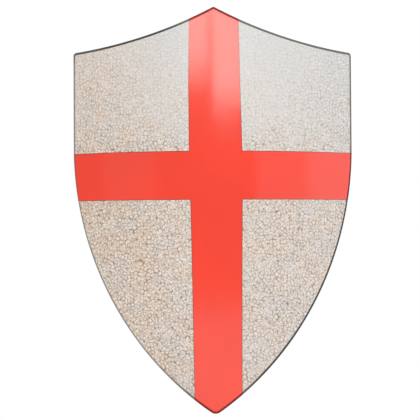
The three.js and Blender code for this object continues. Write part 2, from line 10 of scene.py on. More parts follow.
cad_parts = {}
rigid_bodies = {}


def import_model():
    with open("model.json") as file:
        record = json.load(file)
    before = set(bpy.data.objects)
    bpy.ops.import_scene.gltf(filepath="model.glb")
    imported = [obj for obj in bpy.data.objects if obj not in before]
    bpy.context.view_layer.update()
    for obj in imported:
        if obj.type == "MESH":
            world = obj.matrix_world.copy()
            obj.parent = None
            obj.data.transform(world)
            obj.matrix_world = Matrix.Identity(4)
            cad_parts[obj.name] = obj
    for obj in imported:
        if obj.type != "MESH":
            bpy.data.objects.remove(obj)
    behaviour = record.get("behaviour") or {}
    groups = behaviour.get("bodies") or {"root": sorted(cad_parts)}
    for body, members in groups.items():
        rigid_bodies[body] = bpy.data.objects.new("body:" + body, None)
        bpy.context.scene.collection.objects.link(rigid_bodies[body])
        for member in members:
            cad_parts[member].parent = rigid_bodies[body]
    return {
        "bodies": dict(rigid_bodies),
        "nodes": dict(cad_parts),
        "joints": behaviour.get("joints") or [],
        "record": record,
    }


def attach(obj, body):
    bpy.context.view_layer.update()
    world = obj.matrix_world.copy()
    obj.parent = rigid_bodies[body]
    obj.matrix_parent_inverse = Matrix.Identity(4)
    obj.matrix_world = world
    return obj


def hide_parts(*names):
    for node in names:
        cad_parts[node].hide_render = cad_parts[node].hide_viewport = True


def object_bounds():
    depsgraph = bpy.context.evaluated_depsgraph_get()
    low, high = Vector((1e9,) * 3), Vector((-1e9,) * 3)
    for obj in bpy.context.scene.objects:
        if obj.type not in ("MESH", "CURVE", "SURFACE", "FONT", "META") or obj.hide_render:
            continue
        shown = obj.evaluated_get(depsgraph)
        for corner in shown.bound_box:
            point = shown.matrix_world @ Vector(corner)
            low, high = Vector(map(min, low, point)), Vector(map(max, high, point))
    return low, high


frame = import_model()
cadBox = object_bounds()
print("frame loaded:", len(frame["nodes"]), "nodes")

millimetre = 0.001


def addObject(name, data):
    item = bpy.data.objects.new(name, data)
    bpy.context.scene.collection.objects.link(item)
    return item


def meshOf(bm, name):
    mesh = bpy.data.meshes.new(name)
    bm.to_mesh(mesh)
    bm.free()
    return mesh


def evenly(start, end, steps):
    # values from start to end in equal steps
    return [start + (end - start) * step / steps for step in range(steps + 1)]


# Camera, lamps, backdrop and floor
def aimCamera():
    view = {
        "imageWidth": 420,  # px
        "focalLength": 852.6,  # px
        "yaw": 1.401,  # degrees
        "pitch": 0.934,
        "roll": -0.33,
        "place": (-44.5, -1487.8, -85.1),
    }
    yaw, pitch, roll = (radians(view[key]) for key in ("yaw", "pitch", "roll"))
    ahead = Vector((sin(yaw) * cos(pitch), cos(yaw) * cos(pitch), sin(pitch)))
    level = Vector((cos(yaw), -sin(yaw), 0))
    right = level * cos(roll) + level.cross(ahead) * sin(roll)
    up = right.cross(ahead)
    data = bpy.data.cameras.new("frontCamera")
    data.sensor_width = 36
    data.lens = view["focalLength"] / view["imageWidth"] * data.sensor_width
    camera = addObject("frontCamera", data)
    camera.matrix_world = Matrix.Translation(Vector(view["place"]) * millimetre) @ turnTo(right, up, -ahead)
    bpy.context.scene.camera = camera


def addPanel(name, azimuth, elevation, size, distance, radiance, colour):
    # a soft panel at a compass angle and height angle seen from the face, in degrees and metres
    turn, rise = radians(azimuth), radians(elevation)
    outward = Vector((sin(turn) * cos(rise), -cos(turn) * cos(rise), sin(rise)))
    data = bpy.data.lights.new(name, "AREA")
    data.shape = "RECTANGLE"
    data.size, data.size_y = size
    data.energy = radiance * pi * data.size * data.size_y
    data.color = colour
    lamp = addObject(name, data)
    aim = outward.to_track_quat("Z", "Y").to_matrix().to_4x4()
    lamp.matrix_world = Matrix.Translation(outward * distance) @ aim


def lightStudio():
    warm, cool = (1, 0.97, 0.93), (0.94, 0.97, 1)
    panels = {
        "leftSoftbox": (-7.6, 24.0, (0.50, 0.74), 2.2, 7.6, warm),
        "rightSoftbox": (8.9, 21.3, (0.60, 0.78), 2.2, 7.6, warm),
        "leftFill": (-40, 6, (1.0, 1.8), 2.2, 0.35, (1, 0.95, 0.88)),
        "rightFill": (35, 6, (1.0, 1.8), 2.2, 0.75, cool),
        "rightWall": (62, 8, (1.1, 1.8), 2.2, 1.5, cool),
        "lowBounce": (0, -22, (2.4, 0.8), 2.2, 1.3, warm),
        "leftStrip": (-95, -20, (0.8, 1.6), 2.2, 2.2, warm),
        "backSoftbox": (160, 35, (1.2, 1.2), 2.4, 4, warm),
    }   # azimuth, elevation, size, distance, radiance, colour
    for name, panel in panels.items():
        addPanel(name, *panel)
    world = bpy.data.worlds.new("studio")
    bpy.context.scene.world = world
    world.use_nodes = True
    fill = world.node_tree.nodes["Background"]
    setInputs(fill, {"Color": (1, 1, 1), "Strength": 0.42})
    white = addNode(fill, "Background", Color=(1, 1, 1), Strength=1)
    mix = addNode(fill, "MixShader")
    feed(mix.inputs, seenRays(fill), fill.outputs[0], white.outputs[0])
    feed(world.node_tree.nodes["World Output"].inputs, mix.outputs[0])


def seenRays(near):
    # 1 where the camera looks, also by way of a mirror or glass
    rays = addNode(near, "LightPath").outputs
    return larger(larger(rays["Is Camera Ray"], rays["Is Glossy Ray"]), rays["Is Transmission Ray"])


def layFloor():
    floorPlan = {"below": 0.2, "radius": 0.8, "sides": 96}  # metres under the tip, and across
    bm = bmesh.new()
    bmesh.ops.create_circle(bm, cap_ends=True, segments=floorPlan["sides"], radius=floorPlan["radius"])
    bmesh.ops.translate(bm, verts=bm.verts, vec=(0, 0, cadBox[0].z - floorPlan["below"]))
    floor = addObject("floor", meshOf(bm, "floor"))
    material, shader = startMaterial("paleFloor", roughness=0.8)
    setInputs(shader, {
        "Base Color": (0.86, 0.86, 0.86),
        "Specular IOR Level": 0.1,
        "Emission Color": (1, 1, 1),
        "Emission Strength": multiply(seenRays(shader), 0.3),
    })
    floor.data.materials.append(material)


# Node helpers: each finds its node tree from the node or socket that it is given
def linkOrSet(socket, value):
    if isinstance(value, bpy.types.NodeSocket):
        socket.id_data.links.new(value, socket)
    elif socket.type == "RGBA":
        socket.default_value = (*value, 1)
    else:
        socket.default_value = value


def feed(sockets, *values):
    for socket, value in zip(sockets, values):
        linkOrSet(socket, value)


def setInputs(node, values):
    for name, value in values.items():
        linkOrSet(node.inputs[name], value)


def startMaterial(name, roughness, metallic=0.0):
    material = bpy.data.materials.new(name)
    material.use_nodes = True
    shader = material.node_tree.nodes["Principled BSDF"]
    setInputs(shader, {"Roughness": roughness, "Metallic": metallic})
    return material, shader


def addNode(near, kind, settings=None, **values):
    node = near.id_data.nodes.new("ShaderNode" + kind)
    for key, value in (settings or {}).items():
        setattr(node, key, value)
    setInputs(node, values)
    return node


def addMath(operation, *values):
    near = next(value for value in values if isinstance(value, bpy.types.NodeSocket))
    node = addNode(near, "Math", {"operation": operation})
    feed(node.inputs, *values)
    return node.outputs[0]


def multiply(first, second):
    return addMath("MULTIPLY", first, second)


def multiplyAdd(first, second, third):
    return addMath("MULTIPLY_ADD", first, second, third)


def larger(first, second):
    return addMath("MAXIMUM", first, second)


def addStep(value, low, high, start=0.0, end=1.0):
    # smooth change from start to end while value goes from low to high
    node = addNode(value, "MapRange", {"interpolation_type": "SMOOTHSTEP"})
    feed(node.inputs, value, low, high, start, end)
    return node.outputs[0]


def addMix(share, first, second):
    node = addNode(share, "Mix", {"data_type": "RGBA"})
    feed([node.inputs[i] for i in (0, 6, 7)], share, first, second)
    return node.outputs[2]


def addNoise(place, scale, detail=3.0, roughness=0.5):
    noise = addNode(place, "TexNoise", Vector=place, Scale=scale, Detail=detail, Roughness=roughness)
    return noise.outputs[0]


def addScratches(place, turn, stretch, scale, wide, gate):
    # hairlines where noise drawn out one way crosses its middle value, and a second noise lets them
    drawn = addNode(place, "Mapping", {"vector_type": "TEXTURE"}, Vector=place, Rotation=turn, Scale=stretch)
    level = addMath("SUBTRACT", addNoise(drawn.outputs[0], scale, detail=1), 0.5)
    line = addStep(addMath("ABSOLUTE", level), wide, 0.0)
    return multiply(line, addStep(addNoise(place, scale * 0.4, detail=2), *gate))


def addBump(shader, height, distance, strength=0.5):
    node = addNode(shader, "Bump", Height=height, Distance=distance, Strength=strength)
    linkOrSet(shader.inputs["Normal"], node.outputs[0])


def readAttribute(near, name, output="Fac"):
    return addNode(near, "Attribute", {"attribute_name": name}).outputs[output]


def objectPlace(near):
    return addNode(near, "TexCoord").outputs["Object"]


def splitPlace(place):
    return addNode(place, "SeparateXYZ", Vector=place).outputs


# Mesh helpers
def turnTo(x, y, z):
    # the turn that lays the three axes along these directions
    return Matrix((x, y, z)).transposed().to_4x4()


def savePiece(bm, node, materials, place=Matrix(), body="shield", name=None, sharpAngle=38):
    # the finished piece stands for a CAD node, and has its name unless it is given another
    bmesh.ops.transform(bm, matrix=place, verts=bm.verts)
    bmesh.ops.scale(bm, vec=(millimetre,) * 3, verts=bm.verts)
    for edge in bm.edges:
        edge.smooth = len(edge.link_faces) == 2 and edge.calc_face_angle() < radians(sharpAngle)
    for item in bm.faces:
        item.smooth = True
    words = node.split("_")
    name = name or words[0] + "".join(word.title() for word in words[1:])
    piece = addObject(name, meshOf(bm, name))
    for material in materials:
        piece.data.materials.append(material)
    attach(piece, body)
    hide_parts(node)
    return piece


def joinPart(bm, part):
    mesh = meshOf(part, "part")
    bm.from_mesh(mesh)
    bpy.data.meshes.remove(mesh)


# Face: a sheet cut to the outline, rolled at its edge and then bowed
face = {
    "halfWidth": 255.2,
    "peakHeight": 296.3,
    "cornerHeight": 227,
    "topRadius": 598,
    "sideBendHeight": 56,
    "sideRadius": 569,
    "peakRounding": 5.4,
    "cornerRounding": 6.5,
    "tipRounding": 14,
    "curveStep": 5,  # spacing of the points along the outline
    "strip": 4,  # width of the upright strips that take the bow
    "row": 18,
    "bow": 65,
    "sheet": 1.2,
    "rollRadius": 2.5,
    "rollEnd": 205,  # degrees
    "rollSteps": 20,
    "support": 2.2,  # flat strip kept beside the roll, less than the peak's rounding allows
    "margin": 0.35,  # keeps the smooth outline inside the faceted one
    "merge": 0.08,  # cuts that meet closer than this share a point
    "same": 0.01,  # so do points of the outline
}
bowRadius = (face["halfWidth"] ** 2 + face["bow"] ** 2) / (2 * face["bow"])
bowAxis = bowRadius - face["sheet"]


def unrolled(x):
    return bowRadius * asin(x / bowRadius)


def circleAbove(a, b, radius):
    middle = (a + b) / 2
    side = Vector((a.y - b.y, b.x - a.x)).normalized()
    return middle + side * sqrt(radius ** 2 - (a - b).length ** 2 / 4)


def arcPoints(centre, radius, start, end):
    steps = max(3, round(abs(end - start) * radius / face["curveStep"]))
    return [centre + Vector((cos(turn), sin(turn))) * radius for turn in evenly(start, end, steps)]


def angleFrom(centre, point):
    return atan2(point.y - centre.y, point.x - centre.x)


def traceOutline(inset):
    # right half from peak to tip as five arcs that run into each other, then mirrored
    wide, top, side = face["halfWidth"], face["topRadius"], face["sideRadius"]
    peak, corner, tip = (face[key] for key in ("peakRounding", "cornerRounding", "tipRounding"))
    topCentre = circleAbove(Vector((0, face["peakHeight"])), Vector((wide, face["cornerHeight"])), top)
    sideCentre = Vector((wide - side, face["sideBendHeight"]))
    peakCentre = Vector((0, topCentre.y - sqrt((top + peak) ** 2 - topCentre.x ** 2)))
    fromTop = wide - corner - topCentre.x
    cornerCentre = topCentre + Vector((fromTop, -sqrt((top + corner) ** 2 - fromTop ** 2)))
    tipCentre = Vector((0, sideCentre.y - sqrt((side - tip) ** 2 - sideCentre.x ** 2)))
    tipTurn = angleFrom(sideCentre, tipCentre)
    arcs = [
        (peakCentre, peak - inset, pi / 2, angleFrom(peakCentre, topCentre)),
        (topCentre, top + inset, angleFrom(topCentre, peakCentre), angleFrom(topCentre, cornerCentre)),
        (cornerCentre, corner - inset, angleFrom(cornerCentre, topCentre), 0),
        (sideCentre, side - inset, 0, tipTurn),
        (tipCentre, tip - inset, tipTurn, -pi / 2),
    ]
    half = [point for arc in arcs for point in arcPoints(*arc)]
    apart = [i for i in range(1, len(half)) if (half[i] - half[i - 1]).length > face["same"]]
    right = [half[i] for i in [0] + apart]
    left = [Vector((-point.x, point.y)) for point in reversed(right[1:-1])]
    return right + left


def outwardAt(vert):
    # mitred direction away from the sheet at a vertex of its edge
    sides = []
    for edge in vert.link_edges:
        if edge.is_boundary:
            loop = edge.link_loops[0]
            along = loop.link_loop_next.vert.co - loop.vert.co
            sides.append(along.cross(Vector((0, -1, 0))).normalized())
    return (sides[0] + sides[1]) / (1 + sides[0].dot(sides[1]))


def cutThrough(bm, place, normal, faces=None):
    faces = bm.faces if faces is None else faces
    parts = set(faces) | {e for f in faces for e in f.edges} | {v for f in faces for v in f.verts}
    bmesh.ops.bisect_plane(bm, geom=list(parts), dist=0.0005, plane_co=place, plane_no=normal)


def cutSheet():
    # flat field with its edge rolled back, in the plane of x and z with depth along y
    bm = bmesh.new()
    cut = bm.verts.layers.float_vector.new("cut")
    rollTurn = bm.verts.layers.float.new("rollTurn")
    radius, support = face["rollRadius"], face["support"]
    outline = traceOutline(radius + support + face["margin"])
    rim = [bm.verts.new((unrolled(point.x), 0, point.y)) for point in outline]
    bm.faces.new(rim)
    bm.normal_update()
    if bm.faces[:][0].normal.y > 0:
        bmesh.ops.reverse_faces(bm, faces=bm.faces)
    strips = round(unrolled(face["halfWidth"]) / face["strip"])
    for step in range(1 - strips, strips):
        cutThrough(bm, (step * face["strip"], 0, 0), (1, 0, 0))
    low, high = min(point.y for point in outline), max(point.y for point in outline)
    for step in range(round(low / face["row"]), round(high / face["row"]) + 1):
        cutThrough(bm, (0, 0, step * face["row"]), (0, 0, 1))
    bmesh.ops.remove_doubles(bm, verts=bm.verts, dist=face["merge"])
    for vert in bm.verts:
        vert[cut] = Vector((vert.co.x, vert.co.z, 0)) * millimetre
        vert[rollTurn] = -support / (radius * pi / 2)
    outward = {v: outwardAt(v) for v in bm.verts if v.is_boundary}
    start = {v: v.co.copy() for v in outward}
    edges = [edge for edge in bm.edges if edge.is_boundary]
    for step in range(face["rollSteps"] + 1):
        turn = radians(90 + face["rollEnd"]) * step / face["rollSteps"]
        made = bmesh.ops.extrude_edge_only(bm, edges=edges)["geom"]
        edges = [item for item in made if isinstance(item, bmesh.types.BMEdge)]
        edges = [edge for edge in edges if edge.is_boundary]
        fresh = {vert for edge in edges for vert in edge.verts}
        for vert in fresh:
            source = next(e.other_vert(vert) for e in vert.link_edges if e.other_vert(vert) not in fresh)
            outward[vert], start[vert] = outward[source], start[source]
            away = outward[vert]
            vert.co = start[vert] + away * (support + radius * sin(turn))
            vert.co.y += radius * (1 - cos(turn))
            flat = start[vert] + away * (support + radius * turn)
            vert[cut] = Vector((flat.x, flat.z, 0)) * millimetre
            vert[rollTurn] = turn / (pi / 2)
    bm.normal_update()
    return bm


def bowSheet(bm, lift=0.0):
    # rolls the flat sheet on to the bow; lift stands it off along its own normals
    bm.normal_update()
    for vert in bm.verts:
        vert.co += vert.normal * lift
    for vert in bm.verts:
        angle, depth = vert.co.x / bowRadius, vert.co.y
        vert.co.x = (bowRadius - depth) * sin(angle)
        vert.co.y = bowAxis - (bowRadius - depth) * cos(angle)
    bm.normal_update()


def markRoll(bm):
    # the faces outside the flat field take the second material
    rollTurn = bm.verts.layers.float["rollTurn"]
    flatTurn = min(vert[rollTurn] for vert in bm.verts) + 0.01
    for item in bm.faces:
        if any(vert[rollTurn] > flatTurn for vert in item.verts):
            item.material_index = 1


def addThickness(piece, thickness, offset, backSlot=0):
    solid = piece.modifiers.new("thickness", "SOLIDIFY")
    solid.thickness = thickness * millimetre
    solid.offset = offset
    solid.use_quality_normals = True
    solid.material_offset = backSlot
    solid.material_offset_rim = backSlot


def addRimLine(shader, place, painted, line):
    # colour of the rolled edge, partly its dark paint and partly painted shade of the roll: a painted
    # reflection makes it paler on the left, painted shade makes it deepest low on the right and high on the
    # left, and the dark line reaches further in on the sides and less far low on the left
    setInputs(shader, {"Roughness": line["roughness"], "Specular IOR Level": line["gloss"]})
    across, height = splitPlace(place)[:2]
    below = addStep(height, 0.08, -0.06)
    left, right = (addStep(across, 0.02 * sign, 0.10 * sign) for sign in (-1, 1))
    deep = larger(multiply(below, right), multiply(addStep(height, 0.19, 0.24), left))
    # paler is a painted reflection and deep a painted shade, both placed by height and side
    shade = addMix(left, line["plain"], line["paler"])
    shade = addMix(deep, shade, line["deep"])
    ragged = multiplyAdd(addNoise(place, 220), 0.08, readAttribute(place, "rollTurn"))
    # the line's width also follows painted shade and light: wider on the sides, narrower low on the left
    side = addStep(addMath("ABSOLUTE", across), 0.15, 0.22, 0.0, line["widerSides"])
    spread = multiplyAdd(multiply(below, left), -0.3, side)
    edged = addStep(addMath("ADD", ragged, spread), *line["reach"])
    return addMix(edged, painted, shade), edged


def addCracks(place):
    # edges of the crackle's cells, which in places give way to short winding cracks
    crack = {
        "cell": 6.2,  # mm
        "spread": 0.92,
        "push": 0.003,  # metres that a slow noise moves the cells by
        "winding": 265,  # noise scales, to a metre
        "loose": 75,
        "looseShare": (0.15, 0.75),  # of winding cracks, where fewest and most
        "width": 0.05,
        "windingWidth": 0.10,
        "tilt": (0.5, 0.4, 0.7),  # keeps the noise's own grid from showing
    }
    push = addNode(place, "TexNoise", Vector=place, Scale=110, Detail=2).outputs["Color"]
    pushed = addNode(place, "VectorMath", {"operation": "MULTIPLY_ADD"})
    feed(pushed.inputs, push, (crack["push"],) * 3, place)
    borders, cells = (addNode(place, "TexVoronoi", {"voronoi_dimensions": "2D", "feature": feature})
                      for feature in ("DISTANCE_TO_EDGE", "F1"))
    for node in (borders, cells):
        setInputs(node, {"Vector": pushed.outputs[0], "Scale": 1 / (crack["cell"] * millimetre),
                         "Randomness": crack["spread"]})
    gap = borders.outputs["Distance"]
    tilted = addNode(place, "Mapping", Vector=place, Rotation=crack["tilt"]).outputs[0]
    winding = addMath("SUBTRACT", addNoise(tilted, crack["winding"], detail=0), 0.5)
    winding = multiply(addMath("ABSOLUTE", winding), 2.6)
    loose = addStep(addNoise(tilted, crack["loose"], detail=1), 0.42, 0.58, *crack["looseShare"])
    closed = multiply(addStep(gap, crack["width"], 0.0), addMath("SUBTRACT", 1.0, loose))
    hairline = larger(closed, multiply(addStep(winding, crack["windingWidth"], 0.0), loose))
    return multiplyAdd(addMath("SUBTRACT", winding, gap), loose, gap), hairline, cells.outputs


def addAgeingAndPaintedLight(place):
    # antiquing is stronger low down and at the sides, weakest beside the upright near the top; this is partly
    # real antiquing and partly painted light: painted shade darkens the lower field and its cracks, and a
    # painted reflection leaves the field paler and greyer beside the upright near the top
    ageingAndLightPlan = {
        "low": (0.26, 0.10, 0.0, 0.35),  # height in metres at its start and end, and how much it adds
        "lower": (0.115, 0.0, 0.0, 0.65),
        "left": (-0.07, -0.21),  # metres to the right of the middle
        "leftShare": 0.32,
        "right": (0.10, 0.26, 0.0, 0.5),
    }
    across, height = splitPlace(place)[:2]
    low = addMath("ADD", addStep(height, *ageingAndLightPlan["low"]), addStep(height, *ageingAndLightPlan["lower"]))
    high = addMath("SUBTRACT", 1.0, low)
    leftSide = addStep(across, *ageingAndLightPlan["left"])
    sides = larger(addStep(across, *ageingAndLightPlan["right"]), multiply(leftSide, ageingAndLightPlan["leftShare"]))
    return low, multiply(leftSide, high), multiplyAdd(sides, high, low)


def startCream(name, rolled=False):
    # crackled coat; on the rolled edge it gives way to the dark rim line, partly the rim's dark paint and
    # partly painted shade, with a painted reflection on the left
    coat = {
        "cream": (0.715, 0.562, 0.445),
        "cool": (0.600, 0.610, 0.615),
        "pale": (0.90, 0.87, 0.82),
        "brown": (0.19, 0.12, 0.085),
        "grey": (0.26, 0.24, 0.22),
        "highCrack": (0.23, 0.135, 0.085),
        "lowCrack": (0.085, 0.060, 0.045),
        "patches": 11,  # noise scales, to a metre
        "clouds": 20,
        "spots": 130,
        "breaks": 210,
        "strength": (0.19, 0.77),  # of the antiquing and its painted light, where weakest and strongest
        "veinWidth": (0.29, 0.47),
        "relief": 0.0005,
    }
    # rim line colours: plain is dark paint with painted shade, paler is a painted reflection, deep is the
    # darkest painted shade
    line = {
        "plain": (0.125, 0.120, 0.112),
        "paler": (0.25, 0.245, 0.235),
        "deep": (0.044, 0.042, 0.040),
        "reach": (-0.48, -0.38),  # quarter turns of the roll, less than 0 on the flat
        "widerSides": 0.15,
        "roughness": 0.5,
        "gloss": 0.25,
    }
    material, shader = startMaterial(name, roughness=0.34)
    place = readAttribute(shader, "cut", "Vector")
    across = splitPlace(place)["X"]
    gap, hairline, cells = addCracks(place)
    low, highLeft, ageingAndPaintedLight = addAgeingAndPaintedLight(place)
    spot = addNoise(place, coat["spots"], detail=2)
    strength = multiply(addStep(addNoise(place, coat["patches"], detail=4), 0.36, 0.62, 0.88, 1.0),
                        addStep(ageingAndPaintedLight, 0.0, 1.0, *coat["strength"]))
    strength = multiply(strength, addStep(spot, 0.3, 0.7, 0.7, 1.0))
    # stain beside the cracks, broken up along them and widest where cells meet
    reach = addMath("DIVIDE", gap, addStep(spot, 0.3, 0.7, *coat["veinWidth"]))
    vein = addStep(reach, 0.0, 1.0, 1.0, 0.0)
    broken = multiply(addStep(addNoise(place, coat["breaks"], detail=2), 0.34, 0.6, 0.35, 1.0),
                      addStep(cells["Distance"], 0.4, 0.75, 0.75, 1.4))
    veined = multiply(vein, multiply(strength, broken))
    # body colour from cool to cream, with paler crowns to the cells: partly their own paler tone and partly
    # painted highlights on their domes, stronger on the left, and the field paler high on the left
    warmth = multiply(addStep(addNoise(place, coat["clouds"], detail=3), 0.36, 0.64, 0.36, 0.64),
                      multiplyAdd(multiplyAdd(highLeft, 0.6, low), 0.85, 0.15))
    warmth = multiply(warmth, addStep(across, 0.05, -0.2, 1.0, 1.5))
    tone = addNode(place, "SeparateColor", Color=cells["Color"]).outputs["Red"]
    # crown: painted highlight on each cell's dome, mixed with the cell's own paler tone
    crown = multiply(addStep(gap, 0.15, 0.5), multiplyAdd(tone, 0.25, 0.2))
    crown = multiply(crown, addStep(ageingAndPaintedLight, 0.0, 1.0, 0.4, 1.0))
    crown = multiply(crown, addStep(across, -0.22, 0.08, 1.4, 0.62))
    body = addMix(warmth, coat["cool"], coat["cream"])
    body = addMix(multiplyAdd(highLeft, 0.17, crown), body, coat["pale"])
    stain = addMix(addStep(warmth, 0.1, 0.5), coat["grey"], coat["brown"])
    painted = addMix(veined, body, stain)
    hairline = multiply(hairline, multiplyAdd(strength, 0.8, 0.06))
    # cracks darker low down, partly painted shade
    painted = addMix(hairline, painted, addMix(low, coat["highCrack"], coat["lowCrack"]))
    relief = multiplyAdd(hairline, -0.6, addStep(gap, 0.0, 0.42))
    if rolled:
        painted, edged = addRimLine(shader, place, painted, line)
        relief = multiply(relief, addMath("SUBTRACT", 1.0, edged))
    linkOrSet(shader.inputs["Base Color"], painted)
    addBump(shader, relief, coat["relief"])
    return material


def startRed(name, rolled=False):
    # gloss red, darker along its cut edge; on the rolled edge darker still as painted shade of the roll, with
    # a painted reflection on the left
    coat = {
        "red": (0.86, 0.034, 0.008),
        "deepRed": (0.80, 0.032, 0.008),
        "brim": (0.20, 0.018, 0.012),
        "clouds": 7,  # noise scales, to a metre
        "waves": 18,
        "grain": 260,
        "relief": 0.0002,
    }
    # rim line colours: plain is red in painted shade, paler is a painted reflection, deep is the darkest
    # painted shade
    line = {
        "plain": (0.13, 0.016, 0.014),
        "paler": (0.30, 0.10, 0.085),
        "deep": (0.075, 0.007, 0.007),
        "reach": (-0.4, -0.1),
        "widerSides": 0.2,
        "roughness": 0.45,
        "gloss": 0.2,
    }
    material, shader = startMaterial(name, roughness=0.14)
    place = readAttribute(shader, "cut", "Vector")
    painted = addMix(addStep(addNoise(place, coat["clouds"]), 0.3, 0.7), coat["red"], coat["deepRed"])
    painted = addMix(addStep(readAttribute(shader, "brim"), 0.1, 0.95), painted, coat["brim"])
    if rolled:
        painted = addRimLine(shader, place, painted, line)[0]
    linkOrSet(shader.inputs["Base Color"], painted)
    waves = multiply(addNoise(place, coat["waves"], detail=1), 4.0)
    ripple = addMath("ADD", addNoise(place, coat["grain"], detail=2), waves)
    addBump(shader, ripple, coat["relief"], 0.25)
    return material


def backPaint():
    # matt charcoal, clouded and scuffed, with dust low down
    paint = {
        "dark": (0.036, 0.036, 0.038),
        "pale": (0.060, 0.059, 0.058),
        "dust": (0.105, 0.098, 0.088),
        "scuff": (0.17, 0.168, 0.165),
        "dusty": (0.05, -0.38, 0.06, 0.34),  # height in metres at its start and end, and how much lies there
        "clouds": 12,  # noise scales, to a metre
        "mottle": 90,
        "grain": 900,
        "relief": 0.0003,
    }
    material, shader = startMaterial("charcoalPaint", roughness=0.55)
    place = objectPlace(shader)
    cloud = addNoise(place, paint["clouds"], detail=4)
    mottle = addStep(addNoise(place, paint["mottle"], detail=4), 0.35, 0.7)
    colour = addMix(addStep(cloud, 0.3, 0.7), paint["dark"], paint["pale"])
    low = addStep(splitPlace(place)["Z"], *paint["dusty"])
    colour = addMix(multiply(mottle, low), colour, paint["dust"])
    scratch = larger(addScratches(place, (0, 0.5, 0), (1, 1, 100), 55, 0.009, (0.54, 0.62)),
                     addScratches(place, (0, -1.1, 0), (1, 1, 100), 70, 0.008, (0.56, 0.64)))
    setInputs(shader, {
        "Base Color": addMix(multiply(scratch, 0.4), colour, paint["scuff"]),
        "Roughness": multiplyAdd(mottle, 0.08, addStep(cloud, 0.3, 0.7, 0.44, 0.60)),
    })
    grain = addNoise(place, paint["grain"], detail=2)
    addBump(shader, multiplyAdd(scratch, -0.8, grain), paint["relief"])
    return material


def buildFace():
    bm = cutSheet()
    markRoll(bm)
    bowSheet(bm)
    coats = [startCream("creamCrackle"), startCream("rimPaintAndShade", rolled=True), backPaint()]
    plate = savePiece(bm, "face_plate", coats, sharpAngle=60)
    addThickness(plate, face["sheet"], -1, backSlot=2)


# Cross: a thin red skin on the same sheet, cut to the bars
cross = {
    "barHalfHeight": 42.8,
    "upright": [  # height, half width, shift to the right
        (400, 41.7, -0.1),
        (160, 45.6, 0.7),
        (42.8, 46.8, 2.4),
        (-42.8, 45.8, 3.4),
        (-175, 43.8, 4.0),
        (-500, 40.6, 5.6),
    ],
    "lift": 0.04,
    "skin": 0.12,
    "brim": 2.0,  # darker line along the cut edge
    "overRoll": 1.2,  # quarter turns of the roll that are painted red
}


def uprightEdge(height, sign):
    rows = cross["upright"]
    for (high, halfHigh, shiftHigh), (low, halfLow, shiftLow) in zip(rows, rows[1:]):
        if height >= low:
            share = (height - low) / (high - low)
            half = halfLow + (halfHigh - halfLow) * share
            return shiftLow + (shiftHigh - shiftLow) * share + sign * half
    return 0


def cutCross(bm):
    # every edge of the cross becomes a cut through the flat sheet, with a second cut inside it
    rollTurn = bm.verts.layers.float["rollTurn"]
    rows, border, bar = cross["upright"], cross["brim"], cross["barHalfHeight"]
    for height in [row[0] for row in rows[1:-1]] + [bar - border, border - bar]:
        cutThrough(bm, (0, 0, height), (0, 0, 1))
    for (high, _, _), (low, _, _) in zip(rows, rows[1:]):
        for sign in (-1, 1):
            below, above = uprightEdge(low, sign), uprightEdge(high - 0.001, sign)
            for inset in (0, border):
                band = [f for f in bm.faces if low < f.calc_center_median().z < high]
                cutThrough(bm, (below - sign * inset, 0, low), (high - low, 0, below - above), band)
    spare = []
    for item in bm.faces:
        middle = item.calc_center_median()
        inBar = abs(middle.z) < bar
        inUpright = uprightEdge(middle.z, -1) < middle.x < uprightEdge(middle.z, 1)
        rolled = max(v[rollTurn] for v in item.verts) > cross["overRoll"]
        if rolled or not (inBar or inUpright):
            spare.append(item)
    bmesh.ops.delete(bm, geom=spare, context="FACES")
    bmesh.ops.remove_doubles(bm, verts=bm.verts, dist=face["merge"])
    brim = bm.verts.layers.float.new("brim")
    for vert in bm.verts:
        x, z = vert.co.x, vert.co.z
        inUpright = max(0, min(x - uprightEdge(z, -1), uprightEdge(z, 1) - x))
        vert[brim] = max(0, 1 - sqrt(inUpright ** 2 + max(0, bar - abs(z)) ** 2) / border)


def buildCross():
    bm = cutSheet()
    cutCross(bm)
    markRoll(bm)
    bowSheet(bm, cross["lift"])
    coats = [startRed("redGloss"), startRed("redRim", rolled=True)]
    skin = savePiece(bm, "painted_cross", coats, name="redCross", sharpAngle=60)
    addThickness(skin, cross["skin"], 1)


# Back: the place of each strap, and the arch that its leather follows between two staples
staple = {
    "rod": 2.5,
    "height": 10,
    "innerWidth": 42,
    "bend": 4,
    "arcSteps": 8,
    "beadRadius": 4.6,
    "beadHeight": 2.8,
    "beadNeck": 2.25,
    "beadSides": 28,
    "beadSink": 0.1,  # how far the bead's foot lies in the sheet
}
forearm = {"across": 118, "halfSpan": 105, "leave": 72, "foldLength": 36, "crownHalf": 36}
grip = {"across": -118, "halfSpan": 64, "leave": 66, "foldLength": 32, "crownHalf": 14}
leather = {
    "thick": 3.6,
    "width": 36,
    "gap": 0.3,
    "foldLean": 15,  # degrees
    "foldSteps": 24,
    "pathStep": 1.2,
    "step": 1.0,  # length of a cell along the strap
    "rows": [  # one half of the strap, from its middle out
        0.8, 1.6, 2.4, 3.8, 5.6, 7.4, 8.2, 9.0, 9.8, 10.6, 12.4, 14.3, 15.3, 16.3, 17.4,
    ],
    "creaseDepth": 0.4,
    "edgeRound": 0.9,
    "reach": 2,  # from a hole's edge, within which vertices are moved on to it
    "blunt": 0.12,  # share of its width that a rounded tip keeps at its end
}
layer = (leather["thick"] + leather["gap"]) / 2
stitch = {
    "pitch": 4.3,
    "length": 3.3,
    "half": 0.42,
    "fromEdge": 3.1,
    "fromFold": 3,
    "beyondTip": 4,
    "sink": 0.16,
    "lean": 8,  # degrees
}


def placeOnBack(across):
    # local x along the back, y straight out of it, z up
    turn = asin(across / bowAxis)
    spot = Vector((across, bowAxis - bowAxis * cos(turn), 0))
    return Matrix.Translation(spot) @ Matrix.Rotation(turn, 4, "Z")


